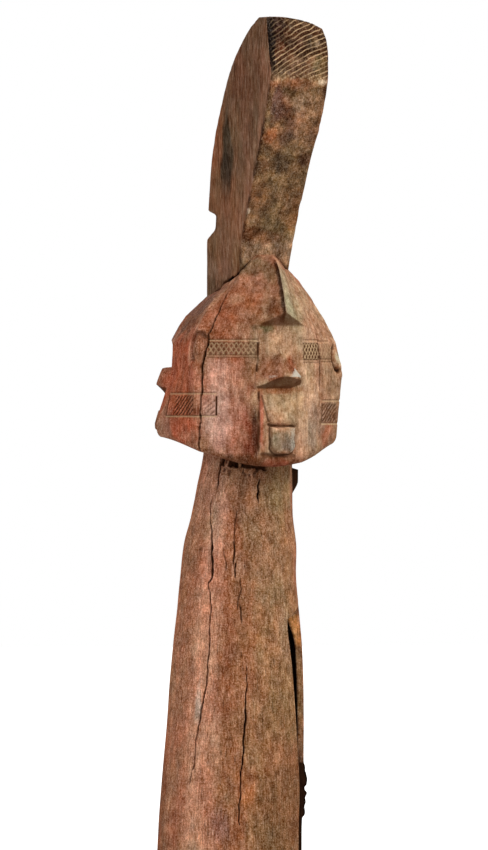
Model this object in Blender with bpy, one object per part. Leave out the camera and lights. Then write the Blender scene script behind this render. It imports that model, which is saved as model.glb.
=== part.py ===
"""Carved reliquary post: one log worked into a hollow, slotted shaft, a head with three faces round it,
and a tall blade that leans forward over the front face.

Metres, +Z up. The origin is the middle of the flat-cut foot, and the front face looks along -Y.
Azimuths are measured round the log from the front, positive towards +X.
"""

import math

import bmesh
import bpy
import numpy as np
from mathutils import Matrix, Vector

# Shaft: height, radius and sideways drift of the log's axis, from the foot up into the head.
SHAFT = (
    (0.000, 0.0975, 0.000),
    (0.200, 0.0965, 0.000),
    (0.396, 0.0935, 0.0025),
    (0.454, 0.0925, 0.0055),
    (0.513, 0.0900, 0.0085),
    (0.630, 0.0842, 0.0120),
    (0.688, 0.0787, 0.0130),
    (0.727, 0.0750, 0.0135),
    (0.766, 0.0728, 0.0160),
    (0.805, 0.0657, 0.0187),
    (0.844, 0.0618, 0.0230),
    (0.885, 0.0575, 0.0270),
    (0.960, 0.0550, 0.0280),
)
SHAFT_SIDES = 48
SHAFT_STEP = 0.045

# Hollow inside the shaft and the long slot that opens it.
WALL = 0.012
HOLLOW_FLOOR = 0.150
HOLLOW_TOP = 0.712
HOLLOW_SIDES = 32
SLOT_AZIMUTH = 54.0
SLOT_FLOOR = 0.170
# Height, and the azimuths of the slot's near and far lips.
SLOT = (
    (0.170, 46.0, 66.0),
    (0.360, 46.0, 67.0),
    (0.480, 44.0, 67.0),
    (0.590, 38.0, 68.0),
    (0.665, 35.0, 68.0),
    (0.685, 60.0, 70.0),
)
HOLLOW_SHIFT = 0.004

# Head: the three faces stand at these azimuths and an ear marks each corner between them.
FACES = (0.0, 120.0, -120.0)
EARS = (60.0, 180.0, -60.0)
HEAD_X = 0.028
STRIP_HALF_ANGLE = 17.3
CHEEK_BULGE = 0.0015

# Corner lines of the head, as height and distance from the head's axis, from the roof down to the rim.
FRONT_KEEL = (
    (1.146, 0.045), (1.130, 0.060), (1.111, 0.085), (1.092, 0.096), (1.076, 0.1010),
    (1.066, 0.103), (0.985, 0.103), (0.925, 0.107), (0.868, 0.107),
)
FRONT_SHOULDER = (
    (1.146, 0.045), (1.124, 0.058), (1.114, 0.068), (1.092, 0.0805), (1.069, 0.090), (1.046, 0.0985),
    (1.020, 0.1045), (0.985, 0.1060), (0.868, 0.1060),
)
SIDE_KEEL = (
    (1.146, 0.018), (1.100, 0.042), (1.089, 0.054), (1.064, 0.081), (1.046, 0.0925),
    (1.032, 0.0965), (0.990, 0.0965), (0.960, 0.106), (0.944, 0.111), (0.925, 0.1155),
    (0.868, 0.118),
)
RIGHT_EAR = (
    (1.146, 0.025), (1.126, 0.050), (1.109, 0.067), (1.086, 0.084), (1.059, 0.100), (1.030, 0.114),
    (1.000, 0.121), (0.985, 0.122), (0.955, 0.120), (0.923, 0.1175), (0.868, 0.110),
)
LEFT_EAR = (
    (1.146, 0.018), (1.112, 0.030), (1.098, 0.056), (1.087, 0.072), (1.076, 0.087), (1.060, 0.103),
    (1.040, 0.115), (1.010, 0.120), (0.985, 0.121), (0.950, 0.120), (0.868, 0.116),
)
BACK_EAR = (
    (1.146, 0.018), (1.100, 0.030), (1.086, 0.055), (1.070, 0.078), (1.050, 0.098), (1.030, 0.110),
    (1.000, 0.118), (0.985, 0.120), (0.950, 0.119), (0.868, 0.114),
)
SHOULDER_ANGLE = 34.0
# The flat strip down the middle of a face starts under the brow, where its two edges stand this far out.
BROW_END = {0.0: 1.051, 120.0: 1.027, -120.0: 1.027}
STRIP_EDGE = {0.0: 0.108, 120.0: 0.1015, -120.0: 0.1015}
STRIP_EDGE_LOW = {0.0: 0.1115, 120.0: 0.1205, -120.0: 0.1205}
STRIP_LOW = 0.925
EDGE_FLARE_TOP = 0.990

# Foreheads, by face: the keel's points from the top down to its tip over the strip, as distance and height,
# then how far to the side, out and up each facet's upper corner and the brow's end lie.
FOREHEAD = {
    0.0: (
        ((0.050, 1.143), (0.070, 1.142), (0.082, 1.136), (0.092, 1.124), (0.101, 1.105), (0.1125, 1.069)),
        ((0.034, 0.0525, 1.124), (0.031, 0.1020, 1.052)),
    ),
    120.0: (((0.0880, 1.050), (0.1005, 1.033)), ((0.029, 0.0970, 1.026),)),
    -120.0: (((0.0880, 1.050), (0.1005, 1.033)), ((0.029, 0.0970, 1.026),)),
}
FOREHEAD_SUNK = 0.012

# Rim of the head: lowest near the front chin, and cut back to the neck with a flat underside.
RIM_FRONT = 0.868
RIM_BACK = 0.911
RIM_SWEEP = 2.9
RIM_LOWEST = -8.0
RIM_ROUND = 0.008
UNDERSIDE_RISE = 0.006
UNDERSIDE_INNER = 0.048
LEVELS = (
    1.146, 1.130, 1.114, 1.103, 1.092, 1.080, 1.067, 1.053, 1.043, 1.032, 1.027, 1.010, 0.990, 0.975,
    0.960, 0.944, 0.925,
)
RIM_STEPS = (0.35, 0.65, 0.86, 0.96, 1.0)

# Noses, by face: distance out of the strip and of the tip, half-width at the top, and heights of the top,
# of the tip's upper and lower edge, and of where the underside meets the strip.
NOSE = {
    0.0: (0.103, 0.1165, 0.001, 1.017, 0.987, 0.984, 0.969),
    120.0: (0.0965, 0.1190, 0.010, 0.9965, 0.991, 0.974, 0.961),
    -120.0: (0.0965, 0.1190, 0.010, 0.9965, 0.991, 0.974, 0.961),
}
NOSE_HALF_WIDTH = 0.0275
NOSE_TIP_HALF_WIDTH = 0.006
NOSE_CORNER_RISE = 0.007

# Mouth blocks, by face: distance out, top and bottom.
MOUTH = {0.0: (0.1135, 0.924, 0.886), 120.0: (0.1200, 0.944, 0.916), -120.0: (0.1200, 0.944, 0.916)}
MOUTH_HALF_WIDTH = 0.0165
MOUTH_CORNER = 0.009

# Ears: raised hooks, open towards the next face round.
EAR_HEIGHT = {60.0: 1.005, 180.0: 1.012, -60.0: 1.023}
EAR_OUT = {60.0: 0.1185, 180.0: 0.1155, -60.0: 0.1175}
EAR_SLOPE = 0.55
EAR_HALF_WIDTH = 0.0095
EAR_HALF_HEIGHT = 0.0155
EAR_THICK = 0.0045
EAR_ARC = (50.0, 310.0)

# Blade: height, front edge, back edge (both along Y) and thickness.
BLADE = (
    (0.960, -0.046, 0.046, 0.068),
    (1.137, -0.053, 0.051, 0.0715),
    (1.163, -0.062, 0.047, 0.074),
    (1.215, -0.086, 0.040, 0.0755),
    (1.267, -0.112, 0.029, 0.077),
    (1.298, -0.130, 0.016, 0.080),
    (1.345, -0.151, -0.010, 0.0825),
    (1.368, -0.159, -0.024, 0.083),
    (1.384, -0.160, -0.036, 0.083),
    (1.403, -0.157, -0.056, 0.085),
    (1.420, -0.153, -0.075, 0.084),
    (1.434, -0.149, -0.094, 0.083),
    (1.450, -0.144, -0.120, 0.080),
)
BLADE_ROUND = 0.003
# The top of the blade droops towards its right side.
BLADE_TOP_DROOP = 0.015
BLADE_TOP_ZONE = 0.030
# Chip out of the blade's back left corner: its heights, and how far it reaches in from each side.
NOTCH = (1.168, 1.199)
NOTCH_BACK = 0.026
NOTCH_SIDE = 0.0125

# Stub of dark wood left standing behind the neck.
STUB_AZIMUTH = 84.0
STUB_HALF_WIDTH = 0.012
STUB_PROUD = 0.0085
STUB_HEIGHTS = (0.832, 0.866)


def through(table, height, column=1):
    """Value of one column of a table of heights at any height, along a smooth curve through its points."""
    rows = sorted(table)
    z = np.array([row[0] for row in rows])
    v = np.array([row[column] for row in rows])
    slopes = np.gradient(v, z)
    i = int(np.clip(np.searchsorted(z, height) - 1, 0, len(z) - 2))
    span = z[i + 1] - z[i]
    t = min(max((height - z[i]) / span, 0.0), 1.0)
    start, end = v[i], v[i + 1]
    return (
        start * (2 * t**3 - 3 * t**2 + 1)
        + end * (3 * t**2 - 2 * t**3)
        + span * (slopes[i] * (t**3 - 2 * t**2 + t) + slopes[i + 1] * (t**3 - t**2))
    )


def straight(table, height, column=1):
    """The same along straight lines, for carving that has hard steps."""
    rows = sorted(table)
    return float(np.interp(height, [row[0] for row in rows], [row[column] for row in rows]))


def on_circle(azimuth, radius, height, centre_x=0.0, centre_y=0.0):
    angle = math.radians(azimuth)
    return Vector((centre_x + radius * math.sin(angle), centre_y - radius * math.cos(angle), height))


def new_object(name, mesh_tool):
    """Closes a bmesh into an object whose faces point outwards."""
    bmesh.ops.recalc_face_normals(mesh_tool, faces=mesh_tool.faces)
    mesh = bpy.data.meshes.new(name)
    mesh_tool.to_mesh(mesh)
    mesh_tool.free()
    made = bpy.data.objects.new(name, mesh)
    bpy.context.scene.collection.objects.link(made)
    return made


def loft(name, rings):
    """A closed solid through rings of equal length, with a fan at each end."""
    tool = bmesh.new()
    made = [[tool.verts.new(point) for point in ring] for ring in rings]
    sides = len(rings[0])
    for lower, upper in zip(made, made[1:]):
        for i in range(sides):
            j = (i + 1) % sides
            tool.faces.new((lower[i], lower[j], upper[j], upper[i]))
    for ring in (made[0], made[-1]):
        middle = sum((vert.co for vert in ring), Vector()) / sides
        tip = tool.verts.new(middle)
        for i in range(sides):
            tool.faces.new((ring[i], ring[(i + 1) % sides], tip))
    return new_object(name, tool)


def hull(name, points):
    """The convex solid round a few points."""
    tool = bmesh.new()
    for point in points:
        tool.verts.new(point)
    bmesh.ops.convex_hull(tool, input=tool.verts)
    return new_object(name, tool)


def levels_between(low, high, step):
    count = max(1, math.ceil((high - low) / step))
    return [low + (high - low) * i / count for i in range(count + 1)]


def make_shaft():
    top = SHAFT[-1][0]
    rings = []
    for height in levels_between(0.0, top, SHAFT_STEP):
        radius = through(SHAFT, height, 1)
        drift = through(SHAFT, height, 2)
        turns = [360.0 * i / SHAFT_SIDES for i in range(SHAFT_SIDES)]
        rings.append([on_circle(turn, radius, height, drift) for turn in turns])
    return loft("reliquary_post", rings)


def hollow_centre(height):
    """The hollow is cut from the slot's side, so it lies a little that way."""
    drift = through(SHAFT, height, 2)
    return on_circle(SLOT_AZIMUTH, HOLLOW_SHIFT, height, drift)


def make_hollow():
    rings = []
    for height in levels_between(HOLLOW_FLOOR, HOLLOW_TOP, SHAFT_STEP):
        radius = through(SHAFT, height, 1) - WALL
        dome = max(0.0, 1.0 - (HOLLOW_TOP - height) / (2 * SHAFT_STEP))
        radius *= 1.0 - 0.45 * dome**2
        centre = hollow_centre(height)
        turns = [360.0 * i / HOLLOW_SIDES for i in range(HOLLOW_SIDES)]
        rings.append([on_circle(turn, radius, height, centre.x, centre.y) for turn in turns])
    return loft("hollow_cutter", rings)


def make_slot():
    """A wedge from the middle of the hollow out through the wall, between the slot's two lips."""
    rings = []
    for height, near, far in SLOT:
        drift = through(SHAFT, height, 2)
        reach = through(SHAFT, height, 1) + WALL
        inner = reach * 0.35
        rings.append([
            on_circle(near, inner, height, drift),
            on_circle(near, reach, height, drift),
            on_circle((near + far) / 2, reach * 1.03, height, drift),
            on_circle(far, reach, height, drift),
            on_circle(far, inner, height, drift),
        ])
    return loft("slot_cutter", rings)


def ear_line(azimuth, height):
    table = {60.0: RIGHT_EAR, -60.0: LEFT_EAR}.get(azimuth, BACK_EAR)
    return straight(table, height)


def strip_edge(face, height):
    """Distance of a strip's edge: on the roof's facet above the brow, on the strip's own corner below it."""
    if height > BROW_END[face]:
        return None
    flare = (EDGE_FLARE_TOP - height) / (EDGE_FLARE_TOP - STRIP_LOW)
    flare = min(max(flare, 0.0), 1.0)
    return STRIP_EDGE[face] + (STRIP_EDGE_LOW[face] - STRIP_EDGE[face]) * flare


def chord(first, last, azimuth):
    """Distance, at an azimuth, of the straight line between two corners of a level section."""
    (a1, r1), (a2, r2) = first, last
    before, after = math.radians(azimuth - a1), math.radians(a2 - azimuth)
    return r1 * r2 * math.sin(before + after) / (r1 * math.sin(before) + r2 * math.sin(after))


def head_corners(height):
    """The corners of the head's level section, as azimuth and distance, in order round the head."""
    corners = []
    for face in FACES:
        keel = straight(FRONT_KEEL if face == 0.0 else SIDE_KEEL, height)
        for side in (-1, 1):
            ear = face + side * 60.0
            ear_key = next(e for e in EARS if (e - ear) % 360.0 == 0.0)
            edge_azimuth = face + side * STRIP_HALF_ANGLE
            next_corner = (60.0, ear_line(ear_key, height))
            if face == 0.0:
                next_corner = (SHOULDER_ANGLE, straight(FRONT_SHOULDER, height))
                corners.append((side * SHOULDER_ANGLE % 360.0, next_corner[1]))
            facet = chord((0.0, keel), next_corner, STRIP_HALF_ANGLE)
            edge = strip_edge(face, height)
            brow_reach = (height - BROW_END[face]) / 0.030
            if edge is None:
                edge = facet + (STRIP_EDGE[face] - facet) * max(0.0, 1.0 - brow_reach) ** 2
            corners.append((edge_azimuth % 360.0, edge))
            if side == 1:
                corners.append((ear % 360.0, ear_line(ear_key, height)))
        corners.append((face % 360.0, keel))
    return sorted(corners)


def head_columns(height):
    """Azimuths and distances all round one level, with points between the corners on slightly full cheeks."""
    corners = head_corners(height)
    corners.append((corners[0][0] + 360.0, corners[0][1]))
    columns = []
    for first, last in zip(corners, corners[1:]):
        parts = 4 if last[0] - first[0] > 30.0 else 2
        for i in range(parts):
            share = i / parts
            azimuth = first[0] + (last[0] - first[0]) * share
            bulge = CHEEK_BULGE * 4 * share * (1 - share)
            columns.append((azimuth, chord(first, last, azimuth) + bulge))
    return columns


def rim_height(azimuth):
    forward = (1 + math.cos(math.radians(azimuth - RIM_LOWEST))) / 2
    return RIM_BACK - (RIM_BACK - RIM_FRONT) * forward**RIM_SWEEP


def make_head():
    rings = [
        [on_circle(azimuth, distance, height, HEAD_X) for azimuth, distance in head_columns(height)]
        for height in LEVELS
    ]
    last = LEVELS[-1]
    for step in RIM_STEPS:
        ring = []
        for azimuth, distance in head_columns(last):
            height = last + (rim_height(azimuth) - last) * step
            lower = max(0.0, (step - RIM_STEPS[1]) / (1.0 - RIM_STEPS[1]))
            pull = RIM_ROUND * (1.0 - math.sqrt(1.0 - lower**2))
            ring.append(on_circle(azimuth, distance - pull, height, HEAD_X))
        rings.append(ring)
    rings.append([
        on_circle(azimuth, UNDERSIDE_INNER, rim_height(azimuth) + UNDERSIDE_RISE, HEAD_X)
        for azimuth, _ in head_columns(last)
    ])
    return loft("head", rings)


def face_point(azimuth, sideways, out, height):
    """A point on a face, given its distance to the side of the middle and out from the head's axis."""
    angle = math.radians(azimuth)
    outward = Vector((math.sin(angle), -math.cos(angle), 0.0))
    along = Vector((math.cos(angle), math.sin(angle), 0.0))
    return Vector((HEAD_X, 0.0, height)) + outward * out + along * sideways


def make_forehead(face):
    """Two facets that meet in a keel, run out to a point over the strip and are undercut back to it."""
    keel, corners = FOREHEAD[face]
    lowest = corners[-1][2]
    points = [face_point(face, 0.0, out, height) for out, height in keel]
    points.append(face_point(face, 0.0, keel[0][0] - FOREHEAD_SUNK, keel[0][1]))
    points.append(face_point(face, 0.0, corners[-1][1] - FOREHEAD_SUNK, lowest))
    for side in (-1, 1):
        for aside, out, height in corners:
            points.append(face_point(face, side * aside, out, height))
            points.append(face_point(face, side * aside, out - FOREHEAD_SUNK, height))
    return hull(f"forehead_{FACES.index(face)}", points)


def make_nose(face):
    """A broad wedge that swells to a blunt tip and is undercut below it."""
    plane, tip, top_half, top, tip_top, tip_bottom, under = NOSE[face]
    sunk = plane - 0.012
    corner = under + NOSE_CORNER_RISE
    points = []
    for side in (-1, 1):
        points += [
            face_point(face, side * top_half, sunk, top + 0.003),
            face_point(face, side * top_half, plane, top),
            face_point(face, side * NOSE_TIP_HALF_WIDTH, tip, tip_top),
            face_point(face, side * NOSE_TIP_HALF_WIDTH, tip, tip_bottom),
            face_point(face, side * NOSE_HALF_WIDTH, plane + 0.001, corner),
            face_point(face, side * NOSE_HALF_WIDTH, sunk, corner),
            face_point(face, side * NOSE_HALF_WIDTH * 0.8, sunk, under),
        ]
    return hull(f"nose_{FACES.index(face)}", points)


def make_mouth(face):
    """A block with a straight top and rounded lower corners, like a tongue."""
    out, top, bottom = MOUTH[face]
    outline = [(-MOUTH_HALF_WIDTH, top), (MOUTH_HALF_WIDTH, top)]
    for side in (1, -1):
        for step in range(4):
            turn = math.radians(30.0 * step if side == 1 else 90.0 - 30.0 * step)
            across = MOUTH_HALF_WIDTH - MOUTH_CORNER * (1 - math.cos(turn))
            outline.append((side * across, bottom + MOUTH_CORNER * (1 - math.sin(turn))))
    points = [face_point(face, u, out, z) for u, z in outline]
    points += [face_point(face, u * 1.04, out - 0.016, z) for u, z in outline]
    return hull(f"mouth_{FACES.index(face)}", points)


def make_ear(azimuth):
    """A hook swept round most of an oval, with a round section half sunk in the head."""
    centre, out = EAR_HEIGHT[azimuth], EAR_OUT[azimuth]
    stations, sides = 11, 6
    rings = []
    for i in range(stations):
        turn = math.radians(EAR_ARC[0] + (EAR_ARC[1] - EAR_ARC[0]) * i / (stations - 1))
        ring = []
        for j in range(sides):
            round_turn = 2 * math.pi * j / sides
            reach = 1.0 + EAR_THICK * math.cos(round_turn) / EAR_HALF_HEIGHT
            across = EAR_HALF_WIDTH * math.cos(turn) * reach
            upright = EAR_HALF_HEIGHT * math.sin(turn) * reach
            bend = EAR_SLOPE * abs(across)
            lift = EAR_THICK * math.sin(round_turn)
            ring.append(face_point(azimuth, across, out - bend + lift, centre + upright))
        rings.append(ring)
    return loft(f"ear_{EARS.index(azimuth)}", rings)


def blade_section(height):
    """Rounded-corner rectangle of the blade at one height."""
    front, back = through(BLADE, height, 1), through(BLADE, height, 2)
    half = through(BLADE, height, 3) / 2
    radius = min(BLADE_ROUND, (back - front) * 0.4)
    near_top = max(0.0, 1.0 - (BLADE[-1][0] - height) / BLADE_TOP_ZONE)
    ring = []
    for side_x, side_y, start in ((1, -1, -90.0), (1, 1, 0.0), (-1, 1, 90.0), (-1, -1, 180.0)):
        corner_x = side_x * (half - radius)
        corner_y = (front if side_y < 0 else back) - side_y * radius
        for step in range(3):
            turn = math.radians(start + 45.0 * step)
            x = corner_x + radius * math.cos(turn)
            y = corner_y + radius * math.sin(turn)
            droop = BLADE_TOP_DROOP * ((x + half) / (2 * half)) ** 3 * near_top
            ring.append(Vector((HEAD_X + x, y, height - droop)))
    return ring


def make_blade():
    heights = [BLADE[0][0], 1.060, 1.100] + [row[0] for row in BLADE[1:]]
    return loft("blade", [blade_section(height) for height in heights])


def make_notch():
    """A chip out of the blade's back left corner, steep above and running out below."""
    low, high = NOTCH
    middle = (low + high) / 2
    back = through(BLADE, middle, 2)
    left = HEAD_X - through(BLADE, middle, 3) / 2
    points = []
    for height, deep in ((low - 0.008, 0.0), (low + 0.012, 1.0), (high - 0.005, 1.0), (high + 0.003, 0.0)):
        points += [
            Vector((left, back - NOTCH_BACK * deep, height)),
            Vector((left + NOTCH_SIDE * deep, back, height)),
            Vector((left - 0.020, back - NOTCH_BACK * deep, height)),
            Vector((left + NOTCH_SIDE * deep, back + 0.020, height)),
            Vector((left - 0.020, back + 0.020, height)),
        ]
    return hull("notch_cutter", points)


def make_stub():
    """A rough wedge standing proud of the neck, square above and running out below."""
    low, high = STUB_HEIGHTS
    points = []
    for turn in (-STUB_HALF_WIDTH, STUB_HALF_WIDTH):
        shift = math.degrees(turn / through(SHAFT, high, 1))
        for height, proud in ((low, 0.0), ((low + high) / 2, STUB_PROUD * 0.8), (high, STUB_PROUD)):
            radius, drift = through(SHAFT, height, 1), through(SHAFT, height, 2)
            points.append(on_circle(STUB_AZIMUTH + shift, radius + proud, height, drift))
            points.append(on_circle(STUB_AZIMUTH + shift, radius - 0.012, height, drift))
    return hull("stub", points)


def combine(body, helper, operation):
    """Joins a helper to the body or cuts it away, and keeps the helper out of the model."""
    step = body.modifiers.new(helper.name, "BOOLEAN")
    step.operation = operation
    step.solver = "EXACT"
    step.object = helper
    helper.hide_render = True
    helper.display_type = "WIRE"


def weathered_wood():
    material = bpy.data.materials.new("weathered_wood")
    material.use_nodes = True
    shader = material.node_tree.nodes["Principled BSDF"]
    shader.inputs["Base Color"].default_value = (0.30, 0.13, 0.075, 1.0)
    shader.inputs["Roughness"].default_value = 0.85
    shader.inputs["Metallic"].default_value = 0.0
    return material


def clear_scene():
    for old in list(bpy.data.objects):
        bpy.data.objects.remove(old)


def build():
    clear_scene()
    post = make_shaft()
    combine(post, make_stub(), "UNION")
    combine(post, make_head(), "UNION")
    combine(post, make_blade(), "UNION")
    for face in FACES:
        combine(post, make_forehead(face), "UNION")
        combine(post, make_nose(face), "UNION")
        combine(post, make_mouth(face), "UNION")
    for azimuth in EARS:
        combine(post, make_ear(azimuth), "UNION")
    combine(post, make_notch(), "DIFFERENCE")
    combine(post, make_hollow(), "DIFFERENCE")
    combine(post, make_slot(), "DIFFERENCE")
    post.data.materials.append(weathered_wood())


build()
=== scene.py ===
"""Carved reliquary post: one weathered log cut into a hollow slotted shaft, a head with three faces and a
tall blade that leans over the front face. Metres, +Z up; azimuths are degrees round the log from the front
face (-Y), positive towards +X."""

import functools
import math

import bpy
import numpy as np
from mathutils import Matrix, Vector


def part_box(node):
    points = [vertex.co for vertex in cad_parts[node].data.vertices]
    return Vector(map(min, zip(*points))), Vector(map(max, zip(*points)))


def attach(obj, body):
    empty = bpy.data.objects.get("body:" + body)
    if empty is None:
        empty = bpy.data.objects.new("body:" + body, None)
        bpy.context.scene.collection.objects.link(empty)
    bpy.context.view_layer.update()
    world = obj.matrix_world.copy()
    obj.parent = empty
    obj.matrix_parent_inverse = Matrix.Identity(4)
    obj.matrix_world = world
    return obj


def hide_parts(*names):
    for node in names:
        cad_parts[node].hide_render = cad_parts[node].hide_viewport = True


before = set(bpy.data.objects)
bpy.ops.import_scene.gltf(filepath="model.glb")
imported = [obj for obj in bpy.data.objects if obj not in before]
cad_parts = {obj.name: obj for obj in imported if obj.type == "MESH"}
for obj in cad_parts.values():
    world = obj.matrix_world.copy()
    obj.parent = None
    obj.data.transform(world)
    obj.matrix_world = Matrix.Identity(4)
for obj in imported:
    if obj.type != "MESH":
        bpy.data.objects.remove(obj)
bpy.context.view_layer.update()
POST_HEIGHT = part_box("reliquary_post")[1].z

# ---------------------------------------------------------------------------------------------------------
# Studio: a pale floor with no edge in sight, even light from all round, and a soft key from the front right.
# The camera stands far off and level, so that the post shows almost without perspective. A view from another
# side backs off with the same lens and sees 100 radii of the post far, so it can't stand much over 30 m off.
# ---------------------------------------------------------------------------------------------------------
FLOOR_HALF = 60.0
FLOOR_GREY = (0.50, 0.48, 0.46, 1.0)
WHITE = (1.0, 1.0, 1.0, 1.0)
# Name, azimuth, elevation, distance, size and power of each lamp.
LAMPS = (
    ("key", 25.0, 40.0, 2.6, 1.2, 42.0), ("fill", -70.0, 15.0, 3.0, 2.0, 12.0),
    ("back_fill", 165.0, 30.0, 3.0, 2.0, 40.0),
)
VIEW_AZIMUTH = -24.6
VIEW_DISTANCE = 30.0
VIEW_TARGET = Vector((0.0233, 0.0022, 0.9222))
VIEW_TALL = 1.105
SENSOR = 36.0
CLIP_END = 400.0


def add_node(tree, kind, feeds=None, **settings):
    """A new node in a tree. Its feeds give inputs, by name or number, a socket or a plain value."""
    node = tree.nodes.new(kind)
    for setting, value in settings.items():
        setattr(node, setting, value)
    for place, value in (feeds or {}).items():
        if isinstance(value, bpy.types.NodeSocket):
            tree.links.new(value, node.inputs[place])
        else:
            node.inputs[place].default_value = value
    return node


def stand_at(name, data, azimuth, elevation, distance):
    """Stands a lamp or the camera off from the head, looking at it."""
    turn, rise = math.radians(azimuth), math.radians(elevation)
    off = Vector((math.sin(turn) * math.cos(rise), -math.cos(turn) * math.cos(rise), math.sin(rise)))
    stand = bpy.data.objects.new(name, data)
    stand.location = VIEW_TARGET + off * distance
    stand.rotation_mode = "QUATERNION"
    stand.rotation_quaternion = off.to_track_quat("Z", "Y")
    bpy.context.scene.collection.objects.link(stand)
    return stand


for name, azimuth, elevation, distance, size, power in LAMPS:
    lamp = bpy.data.lights.new(name, "AREA")
    lamp.size = size
    lamp.energy = power
    stand_at(name, lamp, azimuth, elevation, distance)

# The light from all round is brighter from above, and what the camera sees of it is plain white.
world = bpy.data.worlds.new("studio")
world.use_nodes = True
sky = world.node_tree
around = sky.nodes["Background"]
around.inputs["Color"].default_value = WHITE
direction = add_node(sky, "ShaderNodeTexCoord").outputs["Generated"]
brighter_up = add_node(sky, "ShaderNodeMapRange", {
    "Value": add_node(sky, "ShaderNodeSeparateXYZ", {0: direction}).outputs[2],
    "From Min": -0.4, "From Max": 1.0, "To Min": 0.22, "To Max": 1.05,
})
sky.links.new(brighter_up.outputs[0], around.inputs["Strength"])
behind = add_node(sky, "ShaderNodeBackground", {"Color": WHITE, "Strength": 1.0})
seen = add_node(sky, "ShaderNodeLightPath").outputs["Is Camera Ray"]
choice = add_node(sky, "ShaderNodeMixShader", {0: seen, 1: around.outputs[0], 2: behind.outputs[0]})
sky.links.new(choice.outputs[0], sky.nodes["World Output"].inputs["Surface"])
bpy.context.scene.world = world

# The floor glows white to the camera alone, so that no edge of it shows.
floor_mesh = bpy.data.meshes.new("floor")
floor_corners = [(x * FLOOR_HALF, y * FLOOR_HALF, 0.0) for x, y in ((-1, -1), (1, -1), (1, 1), (-1, 1))]
floor_mesh.from_pydata(floor_corners, [], [(0, 1, 2, 3)])
floor = bpy.data.objects.new("floor", floor_mesh)
bpy.context.scene.collection.objects.link(floor)
pale = bpy.data.materials.new("pale_floor")
pale.use_nodes = True
pale_shader = pale.node_tree.nodes["Principled BSDF"]
for name, value in (
    ("Base Color", FLOOR_GREY), ("Roughness", 1.0), ("Specular IOR Level", 0.0), ("Emission Color", WHITE),
):
    pale_shader.inputs[name].default_value = value
seen = add_node(pale.node_tree, "ShaderNodeLightPath").outputs["Is Camera Ray"]
pale.node_tree.links.new(seen, pale_shader.inputs["Emission Strength"])
floor_mesh.materials.append(pale)

lens = bpy.data.cameras.new("camera")
lens.sensor_width = SENSOR
lens.lens = SENSOR * VIEW_DISTANCE / VIEW_TALL
lens.clip_end = CLIP_END
bpy.context.scene.camera = stand_at("camera", lens, VIEW_AZIMUTH, 0.0, VIEW_DISTANCE)
bpy.context.scene.view_settings.view_transform = "Standard"

# ---------------------------------------------------------------------------------------------------------
# The log's shaft: a round trunk that tapers and bends a little to the right, dressed by hand. It is hollowed
# from a long slot in its right side, whose lips are broken and, at the far one, ragged and painted black.
# The whole post is one skin of rings of points, so each carving moves the points of its own rings.
# ---------------------------------------------------------------------------------------------------------
COLUMN_STEP = 0.6
COLUMNS = np.arange(-180.0, 180.0, COLUMN_STEP)
# Azimuths between which the shaft keeps every column, for fine cracks, or every second one, for the slot.
# Elsewhere it keeps every fourth.
FINE_SPANS = ((-68.4, -3.0), (141.6, 156.0))
SLOT_SPAN = (28.8, 76.8)
# Rows are level up to the neck, and from there they rise to the head's rim.
SHAFT_ROW = 0.0025
LEVEL_TOP = 0.84
NECK_ROWS = 26
# Height, radius and drift of the axis towards +X.
SHAFT = (
    (0.000, 0.0975, 0.000), (0.200, 0.0965, 0.000), (0.396, 0.0935, 0.0025), (0.454, 0.0925, 0.0055),
    (0.513, 0.0900, 0.0085), (0.630, 0.0842, 0.0120), (0.688, 0.0787, 0.0130), (0.727, 0.0750, 0.0135),
    (0.766, 0.0728, 0.0160), (0.805, 0.0657, 0.0187), (0.844, 0.0618, 0.0230), (0.885, 0.0575, 0.0270),
    (0.960, 0.0550, 0.0280),
)
FOOT_ROUND = 0.004
WALL = 0.012
HOLLOW = (0.150, 0.712)
HOLLOW_SHIFT = 0.004
HOLLOW_TOWARD = 54.0
DOME = 0.085
DOME_NARROWS = 0.45
SLOT_FLOOR = 0.170
SLOT_LAST_ROW = 0.680
# The slot's top edge climbs from the near lip to the far one.
SLOT_TOP_NEAR = (29.0, 0.669)
SLOT_TOP_FAR = (66.0, 0.694)
NEAR_LIP = 46.8
FAR_LIP = 66.0
NEAR_LIP_LINE = (
    (0.17, 46.0), (0.36, 46.5), (0.435, 45.6), (0.500, 40.8), (0.565, 35.4), (0.600, 33.2), (0.627, 31.2),
    (0.648, 29.4), (0.672, 28.8), (0.76, 46.8),
)
FAR_LIP_LINE = ((0.17, 66.0), (0.36, 67.0), (0.48, 67.0), (0.59, 68.0), (0.68, 69.0), (0.76, 66.0))
LIP_LAYERS = 4
STUB_AZIMUTH = 84.0
STUB = (0.832, 0.866)
STUB_PROUD = 0.0098
STUB_HALF_WIDTH = 0.012
RIM_FRONT = 0.868
RIM_BACK = 0.911
RIM_SWEEP = 2.9
RIM_LOWEST = -8.0
UNDERSIDE_RISE = 0.006
# Lines of height and azimuth, or azimuth and height: an arris down the neck and a gouge under the rim,
# which is painted black as the rim's shadow.
NECK_ARRIS = (
    (0.700, -41.0), (0.7337, -41.0), (0.7662, -42.9), (0.7987, -44.1), (0.8247, -42.4), (0.850, -40.0),
)
RIM_SHADOW_LINE = ((-62.0, 0.8698), (-32.0, 0.8682), (-15.0, 0.8668), (6.0, 0.8652))


def smooth_line(points):
    """A smooth curve through a few (place, value) points."""
    at, value = np.array(sorted(points), float).T[:2]
    slope = np.gradient(value, at)

    def line(place):
        i = np.clip(np.searchsorted(at, place) - 1, 0, len(at) - 2)
        span = at[i + 1] - at[i]
        t = np.clip((place - at[i]) / span, 0.0, 1.0)
        rise = value[i] * (2 * t**3 - 3 * t**2 + 1) + value[i + 1] * (3 * t**2 - 2 * t**3)
        return rise + span * (slope[i] * (t**3 - 2 * t**2 + t) + slope[i + 1] * (t**3 - t**2))

    return line


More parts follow.
